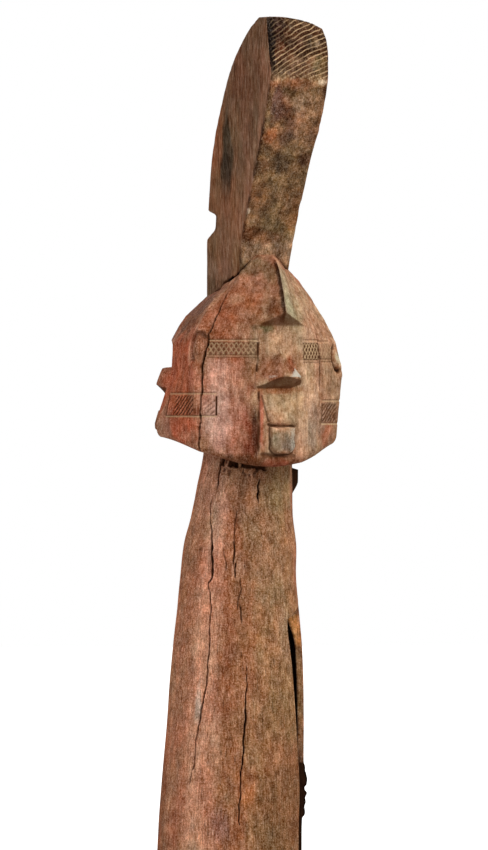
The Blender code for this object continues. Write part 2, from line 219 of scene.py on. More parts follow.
def straight_line(points):
    """Straight lines through a few (place, value) points."""
    at, value = np.array(sorted(points), float).T[:2]
    return lambda place: np.interp(place, at, value)


def ease(low, high, value):
    """0 below low, 1 above high and a soft step between. The limits may be the other way round."""
    t = np.clip((value - low) / (high - low), 0.0, 1.0)
    return t * t * (3 - 2 * t)


def within(value, low, full_from, full_to, high):
    """1 in the middle of a stretch and 0 outside it, with a soft step at each end."""
    return ease(low, full_from, value) * ease(high, full_to, value)


def lumps(points, size, seed):
    """Smooth random lumps of about the given size, from -1 to 1. The size may differ along each axis."""
    heights = np.random.default_rng(seed).uniform(-1.0, 1.0, 8192)
    place = points / np.array(size)
    cell = np.floor(place).astype(np.int64)
    part = place - cell
    part = part * part * (3 - 2 * part)
    total = np.zeros(points.shape[:-1])
    for corner in range(8):
        step = np.array([corner & 1, corner >> 1 & 1, corner >> 2])
        key = (cell + step) @ np.array([73856093, 19349663, 83492791])
        share = np.prod(np.where(step, part, 1.0 - part), axis=-1)
        total += heights[key % len(heights)] * share
    return total


def around_axis(azimuth, reach, height, centre_x, centre_y=0.0):
    """Points at an azimuth and distance from an upright axis."""
    turn = np.radians(azimuth)
    across, away = centre_x + reach * np.sin(turn), centre_y - reach * np.cos(turn)
    return np.stack(np.broadcast_arrays(across, away, height), axis=-1)


def turned(azimuth, middle):
    """Azimuths measured from another one, between -180 and 180."""
    return (azimuth - middle + 180.0) % 360.0 - 180.0


def groove(distance, width):
    """Depth, from 0 to 1, of a rounded cut at some distance from its middle line."""
    return np.clip(1 - (distance / (width / 2)) ** 2, 0.0, 1.0)


shaft_radius = smooth_line([(row[0], row[1]) for row in SHAFT])
shaft_drift = smooth_line([(row[0], row[2]) for row in SHAFT])


def rim_height(azimuth):
    """The head's lower rim, lowest near the front chin."""
    forward = (1 + np.cos(np.radians(azimuth - RIM_LOWEST))) / 2
    return RIM_BACK - (RIM_BACK - RIM_FRONT) * forward**RIM_SWEEP


keep = np.arange(len(COLUMNS)) % 4 == 0
for low, high in FINE_SPANS:
    keep |= (COLUMNS > low) & (COLUMNS < high)
keep |= (COLUMNS > SLOT_SPAN[0]) & (COLUMNS < SLOT_SPAN[1]) & (np.arange(len(COLUMNS)) % 2 == 0)
shaft_columns = np.flatnonzero(keep)
near_column = int(np.argmin(np.abs(COLUMNS[shaft_columns] - NEAR_LIP)))
far_column = int(np.argmin(np.abs(COLUMNS[shaft_columns] - FAR_LIP)))

level = np.arange(0.0, LEVEL_TOP + SHAFT_ROW / 2, SHAFT_ROW)
steps_up = np.linspace(0.0, 1.0, NECK_ROWS + 1)[1:]
slot_rows = (int(round(SLOT_FLOOR / SHAFT_ROW)), int(round(SLOT_LAST_ROW / SHAFT_ROW)))
plan = COLUMNS[shaft_columns][None, :]
neck = rim_height(plan) + UNDERSIDE_RISE
shaft_z = np.concatenate([
    np.repeat(level[:, None], plan.shape[1], axis=1),
    level[-1] + (neck - level[-1]) * steps_up[:, None],
])
# Columns are drawn to the slot's two lips, and rows to its sloping top edge.
near_now = smooth_line(NEAR_LIP_LINE)(shaft_z)
far_now = smooth_line(FAR_LIP_LINE)(shaft_z)
shaft_azimuth = np.where(
    plan < NEAR_LIP,
    plan + (near_now - NEAR_LIP) * ease(-10.0, NEAR_LIP, plan),
    np.where(
        plan < FAR_LIP,
        near_now + (far_now - near_now) * (plan - NEAR_LIP) / (FAR_LIP - NEAR_LIP),
        plan + (far_now - FAR_LIP) * ease(120.0, FAR_LIP, plan),
    ),
)
slot_top = straight_line((SLOT_TOP_NEAR, SLOT_TOP_FAR))(shaft_azimuth)
lifted = (slot_top - slot_rows[1] * SHAFT_ROW) * ease(15.0, 33.0, shaft_azimuth)
lifted *= ease(95.0, 70.0, shaft_azimuth)
shaft_z = shaft_z + lifted * np.clip(1 - np.abs(shaft_z - slot_rows[1] * SHAFT_ROW) / 0.04, 0.0, 1.0)

shaft_reach = shaft_radius(shaft_z)
drift = shaft_drift(shaft_z)
trunk = around_axis(shaft_azimuth, shaft_reach, shaft_z, drift)
# Long shallow flats left by the adze, and a slightly uneven round.
shaft_reach = shaft_reach + 0.0011 * lumps(trunk, (0.035, 0.035, 0.16), 3)
shaft_reach += 0.00045 * lumps(trunk, (0.006, 0.006, 0.045), 4)
shaft_reach -= FOOT_ROUND * (1 - np.sqrt(1 - np.clip(1 - shaft_z / FOOT_ROUND, 0.0, 1.0) ** 2))
# Two of the adze's flats meet in an arris down the neck's left.
from_arris = np.abs(turned(shaft_azimuth, smooth_line(NECK_ARRIS)(shaft_z)))
arris = 0.0018 * np.clip(1 - from_arris / 15.0, 0.0, 1.0) * ease(0.715, 0.745, shaft_z)
shaft_reach += arris * ease(0.850, 0.825, shaft_z)
# A stub stands behind the neck, square above and running out below.
stub_side = np.abs(turned(shaft_azimuth, STUB_AZIMUTH)) * np.radians(1) * shaft_reach
stub_rise = ease(STUB[0] - 0.006, STUB[0] + 0.018, shaft_z) * (shaft_z < STUB[1])
stub = stub_rise * ease(STUB_HALF_WIDTH, STUB_HALF_WIDTH * 0.6, stub_side)
shaft_reach += STUB_PROUD * stub

# Splits along the grain: height, azimuth and width along each, top to bottom, then its depth.
SHAFT_SPLITS = (
    (((0.826, -65.5, 0.0012), (0.795, -60.4, 0.0014), (0.786, -58.1, 0.0026), (0.762, -53.4, 0.0044),
      (0.736, -51.2, 0.0044), (0.7235, -51.4, 0.0034), (0.7165, -54.6, 0.0024), (0.705, -52.0, 0.0018),
      (0.690, -50.8, 0.0018), (0.669, -50.3, 0.0017), (0.636, -49.8, 0.0020), (0.601, -50.4, 0.0020),
      (0.571, -52.2, 0.0026), (0.545, -55.6, 0.0030), (0.513, -58.2, 0.0018), (0.480, -58.8, 0.0014),
      (0.455, -62.0, 0.0010)), 0.0060),
    (((0.612, -15.6, 0.0008), (0.578, -15.6, 0.0014), (0.562, -16.0, 0.0018), (0.540, -16.2, 0.0036),
      (0.530, -16.1, 0.0030), (0.517, -16.6, 0.0026), (0.487, -17.2, 0.0024), (0.461, -18.0, 0.0017),
      (0.428, -18.0, 0.0016), (0.404, -17.7, 0.0014)), 0.0060),
    (((0.812, -31.3, 0.0016), (0.788, -30.8, 0.0020), (0.766, -30.2, 0.0016)), 0.0020),
    (((0.771, -31.6, 0.0018), (0.756, -29.3, 0.0030), (0.741, -29.9, 0.0018)), 0.0032),
    (((0.746, -27.4, 0.0020), (0.735, -27.9, 0.0030), (0.723, -28.0, 0.0020)), 0.0032),
    (((0.726, -22.6, 0.0016), (0.710, -20.6, 0.0022), (0.697, -24.2, 0.0020),
      (0.682, -25.4, 0.0016)), 0.0022),
    (((0.689, -23.0, 0.0022), (0.677, -20.6, 0.0024), (0.662, -20.1, 0.0014)), 0.0028),
    (((0.765, -40.8, 0.0014), (0.740, -37.0, 0.0018), (0.732, -36.6, 0.0012)), 0.0018),
    (((0.853, -6.4, 0.0020), (0.843, -8.2, 0.0030), (0.836, -5.4, 0.0036), (0.830, -7.2, 0.0034),
      (0.820, -5.8, 0.0024)), 0.0060),
    (((0.876, -60.5, 0.0026), (0.861, -58.4, 0.0030), (0.853, -59.2, 0.0026),
      (0.838, -59.4, 0.0026)), 0.0036),
    (((0.868, -50.0, 0.0016), (0.862, -47.5, 0.0018), (0.855, -44.6, 0.0012)), 0.0018),
    (((0.800, 148.0, 0.0030), (0.640, 150.5, 0.0036), (0.450, 146.5, 0.0024)), 0.0050),
)


def split(azimuth, reach, height, line):
    """How deep inside a split a point lies, 0 to 1. A split wanders a little and runs out at both ends."""
    top, foot = line[0][0], line[-1][0]
    wander = 0.0006 * np.sin(height * 130.0 + line[0][1]) + 0.0004 * np.sin(height * 310.0)
    off = np.radians(turned(azimuth, straight_line(line)(height))) * reach + wander
    run_out = np.clip((top - height) / 0.006, 0.0, 1.0) * np.clip((height - foot) / 0.006, 0.0, 1.0)
    width = straight_line([(row[0], row[2]) for row in line])(height)
    wide = width * np.sqrt(run_out) * (0.86 + 0.14 * np.sin(height * 400.0 + line[0][1] * 0.7))
    return np.where(run_out > 0, groove(off, np.maximum(wide, 1e-4)), 0.0)


# The far lip is ragged and painted black in one stretch. Below it a black strip of uneven width runs on down
# and dies away near the slot's floor. The stub behind the neck is painted as black, with ragged edges on its
# far side.
at_far_lip = within(shaft_azimuth, far_now - 3.0, far_now, far_now + 6.0, far_now + 14.0)
ragged_black_stretch = within(shaft_z, 0.411, 0.417, 0.477, 0.485) * at_far_lip
shaft_reach += ragged_black_stretch * (0.0027 + 0.0022 * lumps(trunk, (0.009, 0.009, 0.006), 6))
turned_away = ease(67.0, 74.0, shaft_azimuth)
frayed = turned_away * lumps(trunk, (0.008, 0.008, 0.010), 10)
shaft_dark = ease(58.0, 64.0, shaft_azimuth) * ease(112.0, 104.0, shaft_azimuth + 7.0 * frayed)
shaft_dark *= ease(STUB[0] - 0.010, STUB[0] + 0.004, shaft_z + 0.006 * frayed) * (shaft_z < STUB[1] + 0.001)
shaft_dark *= 1 - 0.12 * turned_away
black_strip_width = 8.0 + 7.0 * lumps(trunk, (0.014, 0.014, 0.024), 11)
black_strip = ease(far_now - 3.0, far_now, shaft_azimuth)
black_strip *= ease(far_now + black_strip_width + 4.0, far_now + black_strip_width - 3.0, shaft_azimuth)
black_strip *= ease(0.487, 0.480, shaft_z + 0.010 * frayed)
black_strip_foot = shaft_z + 0.020 * lumps(trunk, (0.010, 0.010, 0.02), 12)
black_strip *= ease(SLOT_FLOOR - 0.020, SLOT_FLOOR + 0.045, black_strip_foot)
shaft_dark = np.maximum(shaft_dark, black_strip)
for line, deep in SHAFT_SPLITS:
    inside = split(shaft_azimuth, shaft_reach, shaft_z, line)
    shaft_reach -= deep * inside
    dirt = np.minimum(1.3 * inside**0.7, 1.0) * np.clip(deep / 0.004, 0.3, 0.98)
    shaft_dark = np.maximum(shaft_dark, dirt)
# Ragged gouges and pits right under the chin, painted dark as the shade in them.
under_head = ease(0.846, 0.866, shaft_z) * ease(-72.0, -58.0, shaft_azimuth) * ease(20.0, 0.0, shaft_azimuth)
pits = ease(0.22, 0.50, lumps(trunk, (0.0036, 0.0036, 0.0060), 5)) * under_head
shaft_reach -= 0.0030 * pits
shaft_dark = np.maximum(shaft_dark, 0.62 * pits)
# A broken gouge runs round the top of the neck behind the rim's edge, painted black as the rim's shadow.
torn = 0.0012 + 0.0026 * lumps(trunk, (0.0040, 0.0040, 0.006), 8)
rim_gouge_and_shadow = ease(torn + 0.0012, torn, straight_line(RIM_SHADOW_LINE)(shaft_azimuth) - shaft_z)
rim_gouge_and_shadow *= within(shaft_azimuth, -63.0, -57.0, 2.0, 8.0)
rim_gouge_and_shadow *= ease(-0.25, 0.10, lumps(trunk, (0.0060, 0.0060, 0.030), 9))
shaft_reach -= 0.0020 * rim_gouge_and_shadow
shaft_dark = np.maximum(shaft_dark, 0.85 * rim_gouge_and_shadow)

# ---------------------------------------------------------------------------------------------------------
# The blade: a tall flat-sided tongue of the same log. It leans forward over the front face, its two edges
# meet the broad sides in sharp arrises, its top droops to the right and a chip is gone from its back edge.
# ---------------------------------------------------------------------------------------------------------
HEAD_X = 0.028
# Height, front edge, back edge (both along Y) and thickness.
BLADE = (
    (0.960, -0.046, 0.046, 0.068), (1.137, -0.053, 0.051, 0.0715), (1.163, -0.062, 0.047, 0.074),
    (1.215, -0.086, 0.040, 0.0755), (1.267, -0.112, 0.029, 0.077), (1.298, -0.130, 0.016, 0.080),
    (1.345, -0.151, -0.010, 0.0825), (1.368, -0.159, -0.024, 0.083), (1.384, -0.160, -0.036, 0.083),
    (1.403, -0.157, -0.056, 0.085), (1.420, -0.153, -0.075, 0.084), (1.434, -0.149, -0.094, 0.083),
    (1.450, -0.144, -0.120, 0.080),
)
# Columns of the skin that run up the blade's front and back corners, and how often these are smoothed.
FRONT_CORNER = 34.2
BACK_CORNER = 144.6
ARRIS_ROUND = 2
# Rows below and above the share of the blade's height at which its knife lines start, and rings of its top.
BLADE_ROWS, LINED_ROWS = 126, 136
LINES_FROM = 0.76
CAP_RINGS = 12
BLADE_TOP_ZONE = 0.030
BLADE_TOP_DROOP = 0.015
# The chip: the heights where it starts, is full, is still full and ends, and how far in it goes from the back
# and from the side.
CHIP = (1.160, 1.180, 1.194, 1.202)
CHIP_BACK = 0.026
CHIP_SIDE = 0.0125

blade_front = smooth_line([(row[0], row[1]) for row in BLADE])
blade_back = smooth_line([(row[0], row[2]) for row in BLADE])
blade_half = smooth_line([(row[0], row[3] / 2) for row in BLADE])


def blade_outline(column, height):
    """Where a column runs at a height, along the blade's front edge, its side and its back edge."""
    front, back, half = blade_front(height), blade_back(height), blade_half(height)
    side, turn = np.sign(column), np.abs(column)
    along_side = np.clip((turn - FRONT_CORNER) / (BACK_CORNER - FRONT_CORNER), 0.0, 1.0)
    out = np.where(
        turn < FRONT_CORNER,
        turn / FRONT_CORNER,
        np.where(turn < BACK_CORNER, 1.0, (180.0 - turn) / (180.0 - BACK_CORNER)),
    )
    return HEAD_X + side * half * out, front + (back - front) * along_side


# ---------------------------------------------------------------------------------------------------------
# The head: a lantern of three flat-cut faces with a corner between each pair. A face has a roof-like
# forehead with an undercut brow, and below it a flat strip that carries the nose and the mouth block.
# ---------------------------------------------------------------------------------------------------------
FACES = (0.0, 120.0, -120.0)
# Degrees from a face's middle to the edge of its strip, and on the front to the cheek's shoulder.
STRIP_HALF_ANGLE = 17.4
SHOULDER = 34.2
CHEEK_BULGE = 0.0015
# Degrees round the head become metres at this distance from its axis.
HEAD_REACH = 0.119
# Between these heights the rows lie level and close, for the knife cuts. Others are below and above them.
BAND_ROWS = (0.915, 1.045)
ROWS_BELOW, ROWS_ACROSS, ROWS_ROOF = 34, 130, 76
UNDERSIDE_ROWS = 12
RIM_ROUND = 0.008
RIM_ROUND_TALL = 0.012

# Height and distance from the head's axis of the lines that the faces are cut to.
FRONT_KEEL = (
    (1.143, 0.050), (1.142, 0.070), (1.136, 0.082), (1.124, 0.092), (1.105, 0.101), (1.069, 0.1125),
    (1.050, 0.1185),
)
FRONT_STRIP = ((1.052, 0.103), (0.985, 0.103), (0.925, 0.107), (0.868, 0.107))
FRONT_SHOULDER = (
    (1.146, 0.045), (1.124, 0.058), (1.114, 0.068), (1.092, 0.0805), (1.069, 0.090), (1.046, 0.0985),
    (1.020, 0.1045), (0.985, 0.1060), (0.868, 0.1060),
)
SIDE_KEEL = (
    (1.146, 0.018), (1.099, 0.036), (1.089, 0.054), (1.064, 0.081), (1.050, 0.0905), (1.033, 0.0995),
    (1.020, 0.106),
)
SIDE_STRIP = (
    (1.030, 0.0960), (0.990, 0.0965), (0.960, 0.106), (0.944, 0.111), (0.925, 0.1155), (0.868, 0.118),
)
RIGHT_EAR = (
    (1.146, 0.025), (1.126, 0.050), (1.109, 0.067), (1.086, 0.084), (1.059, 0.100), (1.030, 0.114),
    (1.000, 0.121), (0.985, 0.122), (0.955, 0.120), (0.923, 0.1175), (0.868, 0.110),
)
LEFT_EAR = (
    (1.146, 0.020), (1.122, 0.030), (1.110, 0.040), (1.098, 0.056), (1.087, 0.072), (1.076, 0.087),
    (1.060, 0.103), (1.040, 0.115), (1.010, 0.120), (0.985, 0.121), (0.950, 0.120), (0.868, 0.116),
)
BACK_EAR = (
    (1.146, 0.018), (1.100, 0.030), (1.086, 0.055), (1.070, 0.078), (1.050, 0.098), (1.030, 0.110),
    (1.000, 0.118), (0.985, 0.120), (0.950, 0.119), (0.868, 0.114),
)
EAR_LINES = {60.0: RIGHT_EAR, -60.0: LEFT_EAR, 180.0: BACK_EAR, -180.0: BACK_EAR}
# The forehead's outer edge, as sideways distance, distance out and height, from the brow's end to the blade.
FOREHEAD_EDGE = ((0.0315, 0.1020, 1.052), (0.0340, 0.0525, 1.124))
# Heights of the brow's tip and of its ends, and their distances.
BROW = {0.0: (1.069, 1.052, 0.1125, 0.1067), 120.0: (1.033, 1.027, 0.0995, 0.1015)}
BROW[-120.0] = BROW[120.0]
# Degrees by which the front keel stands right of the middle.
KEEL_SHIFT = 1.5


def chord(first, first_reach, last, last_reach, azimuth):
    """Distance of the straight cut between two corners of a level section, given in degrees and metres."""
    before, after = np.radians(azimuth - first), np.radians(last - azimuth)
    across = np.sin(np.radians(last - first))
    return first_reach * last_reach * across / (first_reach * np.sin(before) + last_reach * np.sin(after))


def strip_reach(face, height):
    """Distance of a face's flat strip from the head's axis."""
    return straight_line(FRONT_STRIP if face == 0.0 else SIDE_STRIP)(height)


def keel_shift(azimuth, height):
    """Degrees by which the front of the forehead is turned."""
    return KEEL_SHIFT * np.clip(1 - np.abs(azimuth) / 32.0, 0.0, 1.0) * ease(1.048, 1.056, height)


def half_face(face, side, turn, height):
    """Distance of one half of a face from the head's axis, without its nose, mouth and cuts."""
    brow_tip, brow_end, tip_reach, end_reach = BROW[face]
    above = straight_line(FRONT_KEEL if face == 0.0 else SIDE_KEEL)(height)
    below = strip_reach(face, height)
    ear = straight_line(EAR_LINES[face + side * 60.0])(height)
    if face == 0.0:
        (aside1, out1, z1), (aside2, out2, z2) = FOREHEAD_EDGE
        share = np.clip((height - z1) / (z2 - z1), 0.0, 1.0)
        edge_aside, edge_out = aside1 + (aside2 - aside1) * share, out1 + (out2 - out1) * share
        shoulder = straight_line(FRONT_SHOULDER)(height)
        upper_edge = np.hypot(edge_aside, edge_out)
        upper_edge = np.where(height > z2, np.minimum(upper_edge, shoulder * 1.01), upper_edge)
        upper_angle = np.minimum(np.degrees(np.arctan2(edge_aside, edge_out)), SHOULDER - 1.0)
    else:
        shoulder = None
        upper_angle = np.full_like(height, STRIP_HALF_ANGLE)
        facet = chord(0.0, above, 60.0, ear, STRIP_HALF_ANGLE)
        near_brow = np.clip(1 - (height - brow_end) / 0.030, 0.0, 1.0) ** 2
        upper_edge = facet + (end_reach - facet) * near_brow
    strip_edge = below / np.cos(np.radians(STRIP_HALF_ANGLE))
    is_above = height > brow_end
    angle = np.where(is_above, upper_angle, STRIP_HALF_ANGLE)
    edge = np.where(is_above, upper_edge, strip_edge)
    # The forehead stands over the strip, and its underside slopes back to it.
    roof = chord(0.0, above, angle, edge, turn)
    brow_line = brow_tip + (brow_end - brow_tip) * np.clip(turn / STRIP_HALF_ANGLE, 0.0, 1.0)
    brow_reach = chord(0.0, tip_reach, STRIP_HALF_ANGLE, end_reach, np.minimum(turn, STRIP_HALF_ANGLE))
    flat = below / np.cos(np.radians(np.minimum(turn, STRIP_HALF_ANGLE)))
    back_in = np.clip((height - brow_end) / np.maximum(brow_line - brow_end, 1e-4), 0.0, 1.0)
    under = flat + (brow_reach - flat) * back_in
    middle = np.where(height > brow_line, roof, under)
    middle = np.where(is_above, middle, flat)
    if shoulder is not None:
        cheek = np.where(
            turn < SHOULDER,
            chord(angle, edge, SHOULDER, shoulder, np.clip(turn, angle, SHOULDER)),
            chord(SHOULDER, shoulder, 60.0, ear, np.maximum(turn, SHOULDER)),
        )
    else:
        cheek = chord(angle, edge, 60.0, ear, np.maximum(turn, angle))
    share = np.clip((turn - angle) / (60.0 - angle), 0.0, 1.0)
    cheek += CHEEK_BULGE * 4 * share * (1 - share)
    return np.where(turn < angle, middle, cheek)


def head_reach(azimuth, height):
    """Distance of the head's surface from its axis."""
    azimuth, height = np.broadcast_arrays(np.asarray(azimuth, float), np.asarray(height, float))
    azimuth = azimuth - keel_shift(azimuth, height)
    reach = np.zeros(azimuth.shape)
    for face in FACES:
        local = turned(azimuth, face)
        for side in (-1, 1):
            part = (np.abs(local) <= 60.0) & (local * side >= 0)
            reach[part] = half_face(face, side, np.abs(local[part]), height[part])
    return reach


# The roof meets the blade along a crease: the highest level, at each column, where the head still stands out.
tries = np.arange(1.060, 1.1462, 0.0005)[:, None]
blade_x, blade_y = blade_outline(COLUMNS[None, :], tries)
blade_turn = np.degrees(np.arctan2(blade_x - HEAD_X, -blade_y))
stands_out = head_reach(blade_turn, tries + 0 * blade_turn) - np.hypot(blade_x - HEAD_X, blade_y)
highest = len(tries) - 1 - np.argmax(stands_out[::-1] > 0, axis=0)
crease = tries[highest, 0]
for _ in range(3):
    crease = (np.roll(crease, 1) + 2 * crease + np.roll(crease, -1)) / 4

rows_up = np.concatenate([
    np.linspace(0.0, 1.0, ROWS_BELOW, endpoint=False),
    1.0 + np.linspace(0.0, 1.0, ROWS_ACROSS, endpoint=False),
    2.0 + np.linspace(0.0, 1.0, ROWS_ROOF),
])[:, None]
rim = rim_height(COLUMNS)[None, :]
head_z = np.where(
    rows_up < 1.0,
    rim + (BAND_ROWS[0] - rim) * rows_up,
    np.where(
        rows_up < 2.0,
        BAND_ROWS[0] + (BAND_ROWS[1] - BAND_ROWS[0]) * (rows_up - 1.0),
        BAND_ROWS[1] + (crease[None, :] - BAND_ROWS[1]) * np.clip(rows_up - 2.0, 0.0, 1.0) ** 0.85,
    ),
)
# Near the top the columns swing over to where the blade's own columns start.
blade_x, blade_y = blade_outline(COLUMNS, crease)
blade_turn = np.degrees(np.arctan2(blade_x - HEAD_X, -blade_y))
blade_turn[0] = -180.0
head_azimuth = COLUMNS + (blade_turn - COLUMNS) * ease(2.25, 3.0, rows_up)
head_base = head_reach(head_azimuth, head_z)

# Noses: height of the top, distance of the tip, half-widths to the left and right, heights of the tip, of the
# left and right ends of the lower edge and of where the underside meets the strip, and how far it stands
# out at the top already, as a share.
NOSE = {
    0.0: (1.021, 0.1165, 0.0360, 0.0290, 0.9850, 0.9725, 0.9810, 0.9690, 0.0),
    120.0: (0.9975, 0.1190, 0.0215, 0.0215, 0.9760, 0.9700, 0.9700, 0.9600, 0.60),
}
NOSE[-120.0] = NOSE[120.0]
NOSE_BLUNT = 1.45

# Mouth blocks: how proud of the strip, left, right, top, bottom and the radius of the lower corners.
MOUTH = {
    0.0: (0.0060, -0.0168, 0.0156, 0.9190, 0.8850, 0.010),
    120.0: (0.0038, -0.0165, 0.0165, 0.9420, 0.9160, 0.009),
}
MOUTH[-120.0] = MOUTH[120.0]


def nose_out(face, aside, height, plane):
    """A wedge that swells from a point at the top to a blunt tip, undercut below its drooping lower edge."""
    top, tip_out, half_left, half_right, tip, left, right, under, start = NOSE[face]
    half = np.where(aside < 0, half_left, half_right)
    spread = np.clip(np.abs(aside) / half, 0.0, 1.0)
    lower = tip + (np.where(aside < 0, left, right) - tip) * ease(0.0, 1.0, spread)
    fall = np.clip((top - np.maximum(height, lower)) / (top - tip), 0.0, 1.0)
    width = half * np.clip(fall + 0.45 * (start > 0), 0.05, 1.0)
    ridge = np.clip((1 - np.abs(aside) / width) * NOSE_BLUNT, 0.0, 1.0)
    over = (tip_out - plane) * np.minimum(fall * 20.0, start + (1 - start) * fall**0.8) * ridge
    under = under + 0.0045 * ease(0.25, 1.0, aside / half)
    below = np.clip((height - under) / np.maximum(lower - under, 1e-4), 0.0, 1.0)
    return plane + over * np.where(height < lower, below, 1.0), lower


def mouth_inside(face, aside, height):
    """How far inside the outline of a mouth block a point lies. It is negative outside."""
    _, left, right, top, bottom, corner = MOUTH[face]
    from_side = np.minimum(aside - left, right - aside)
    from_end = np.minimum(top - height, height - bottom)
    in_corner = (height < bottom + corner) & (from_side < corner)
    round_in = corner - np.hypot(corner - from_side, corner - (height - bottom))
    return np.where(in_corner, round_in, np.minimum(from_side, from_end))


def from_line(aside, height, ends):
    """Distance of points from a straight line between two (aside, height) ends."""
    (x1, z1), (x2, z2) = ends
    run, rise = x2 - x1, z2 - z1
    along = np.clip(((aside - x1) * run + (height - z1) * rise) / (run**2 + rise**2), 0, 1)
    return np.hypot(aside - x1 - along * run, height - z1 - along * rise)


# Knife cuts beside the front strip, round the plane between nose and mouth and over the chin: the two ends of
# each, its depth and width, and how dark and how wide the dirt in it is.
FRONT_CUTS = (
    (((-0.0285, 0.9600), (-0.0200, 0.9270)), 0.0018, 0.0034, 0.50, 0.0034),
    (((0.0215, 0.9640), (0.0215, 0.9270)), 0.0008, 0.0030, 0.25, 0.0030),
    (((-0.0200, 0.9222), (0.0185, 0.9200)), 0.0024, 0.0050, 0.70, 0.0036),
    (((-0.0325, 1.0280), (-0.0345, 0.9920)), 0.0022, 0.0040, 0.85, 0.0036),
    (((-0.0325, 0.9640), (-0.0340, 0.8880)), 0.0022, 0.0044, 0.85, 0.0042),
    (((0.0335, 1.0250), (0.0345, 0.8900)), 0.0005, 0.0026, 0.25, 0.0024),
    (((-0.0300, 0.8840), (0.0160, 0.8815)), 0.0020, 0.0060, 0.62, 0.0070),
)

# Ears: azimuth, height, half-width and half-height of a hook in low relief round a small boss, and the
# direction in which the hook is open, in degrees from +azimuth towards up, how boldly it is cut and how dark.
EARS = (
    (-58.5, 1.0230, 0.0125, 0.0175, -35.0, 1.0, 0.42), (56.5, 1.0080, 0.0105, 0.0155, 12.0, 0.45, 0.95),
    (180.0, 1.0120, 0.0115, 0.0165, -20.0, 1.0, 0.6),
)
EAR_GAP = 72.0

# Splits of the head, as on the shaft.
HEAD_SPLITS = (
    (((1.094, -46.6, 0.0016), (1.065, -50.0, 0.0022), (1.037, -52.2, 0.0028), (1.016, -54.2, 0.0040),
      (1.000, -55.0, 0.0042), (0.975, -55.6, 0.0028), (0.952, -56.2, 0.0021), (0.929, -57.0, 0.0021),
      (0.888, -58.4, 0.0022)), 0.0050),
    (((1.040, 37.0, 0.0016), (1.006, 36.2, 0.0026), (0.966, 35.0, 0.0022)), 0.0030),
)

head_now = head_base.copy()
# The dressed planes of the roof run softly into each other away from the keels.
softer = np.mean([head_reach(head_azimuth + away, head_z) for away in (-7, -4.5, -2, 0, 2, 4.5, 7)], axis=0)
from_keel = np.min([np.abs(turned(head_azimuth, face)) for face in FACES], axis=0)
soft_part = within(from_keel, 5.0, 11.0, 52.0, 60.0) * ease(1.056, 1.075, head_z)
soft_part *= ease(2.95, 2.55, rows_up)
head_now += (softer - head_now) * soft_part
head_dark = np.zeros_like(head_base)
head_kaolin = np.zeros_like(head_base)
for face in FACES:
    local = turned(head_azimuth, face)
    near = np.abs(local) < 40.0
    a, z, base = local[near], head_z[near], head_now[near]
    plane = strip_reach(face, z)
    aside, out = base * np.sin(np.radians(a)), base * np.cos(np.radians(a))
    nose_top, _, half_left, half_right, nose_tip, _, _, nose_foot, _ = NOSE[face]
    is_nose = (z > nose_foot) & (z < nose_top) & (aside > -half_left) & (aside < half_right)
    wedge, lower_edge = nose_out(face, aside, z, plane)
    out = np.where(is_nose, np.maximum(out, wedge), out)
    # The nose's underside is painted dark, as the shade under it.
    under = is_nose * ease(lower_edge + 0.0008, lower_edge - 0.0004, z) * (wedge > plane + 0.0003)
    uneven_edge = 0.0011 * lumps(np.stack([aside, z, z], axis=-1), 0.0065, 72)
    deep = mouth_inside(face, aside, z) + uneven_edge
    block = plane + MOUTH[face][0] + 0.0010 * ease(0.0, 0.010, deep)
    out = out + (block - out) * ease(-0.0006, 0.0012, deep)
    moat = groove(np.abs(deep + 0.0014), 0.0030)
    worn_away = ease(-0.7, 0.5, lumps(np.stack([aside, z, z], axis=-1), 0.012, 71))
    dark = 0.75 * moat * (0.45 + 0.55 * np.maximum(worn_away, ease(0.893, 0.886, z)))
    if face == 0.0:
        from_cuts = [from_line(aside, z, ends) for ends, *_ in FRONT_CUTS]
        deepest, darkest = (
            np.max([row[i] * groove(away, row[i + 1]) for away, row in zip(from_cuts, FRONT_CUTS)], axis=0)
            for i in (1, 3)
        )
        # The tapering plane between nose and mouth stands a little proud.
        from_lip = np.minimum(aside + 0.0285 - 0.0085 * (0.9600 - z) / 0.0330, 0.0215 - aside)
        proud = within(aside, -0.0350, -0.0310, 0.0310, 0.0345)
        proud *= within(z, 0.9230, 0.9260, 0.9500, 0.9640) * ease(-0.0005, 0.0010, from_lip)
        out = out - deepest + 0.0012 * proud
        dark = np.maximum(dark, darkest * (0.40 + 0.60 * worn_away))
        # White clay is left on the nose's right facet, in a spot on its left and on the right of the mouth.
        over_tip = is_nose & (z > nose_tip - 0.002)
        facet = over_tip & (aside > 0.0005) & (z > nose_tip - 0.001) & (z < 0.9975) & (wedge > plane + 0.001)
        spot = over_tip & (aside < -0.010) & (aside > -0.020) & (z < 0.9865)
        clay = 0.8 * facet * ease(0.9985, 0.9900, z + 0.95 * (0.016 - aside)) + 0.4 * spot
        clay = np.maximum(clay, 0.5 * ease(0.0, 0.0015, deep) * ease(0.004, 0.011, aside))
        head_kaolin[near] = np.maximum(head_kaolin[near], clay)
    out = out - 0.0016 * moat
    head_now[near] = out / np.cos(np.radians(a))
    head_dark[near] = np.maximum(head_dark[near], np.maximum(dark, 0.63 * under))

for ear, middle, half, tall, opening, bold, dirt in EARS:
    aside = np.radians(turned(head_azimuth, ear)) * HEAD_REACH
    up = head_z - middle
    ring = np.hypot(aside / half, up / tall)
    from_gap = np.abs(turned(np.degrees(np.arctan2(up / tall, aside / half)), opening))
    there = ease(EAR_GAP - 12.0, EAR_GAP + 12.0, from_gap)
    hollow = groove(ring - 1.0, 0.50) * there
    head_now += bold * 0.0022 * groove(ring - 1.42, 0.62) * there - 0.0030 * hollow
    head_now += bold * (0.0020 * groove(ring, 1.10) - 0.0012 * groove(ring - 0.62, 0.3) * (1 - 0.5 * there))
    head_dark = np.maximum(head_dark, dirt * hollow)

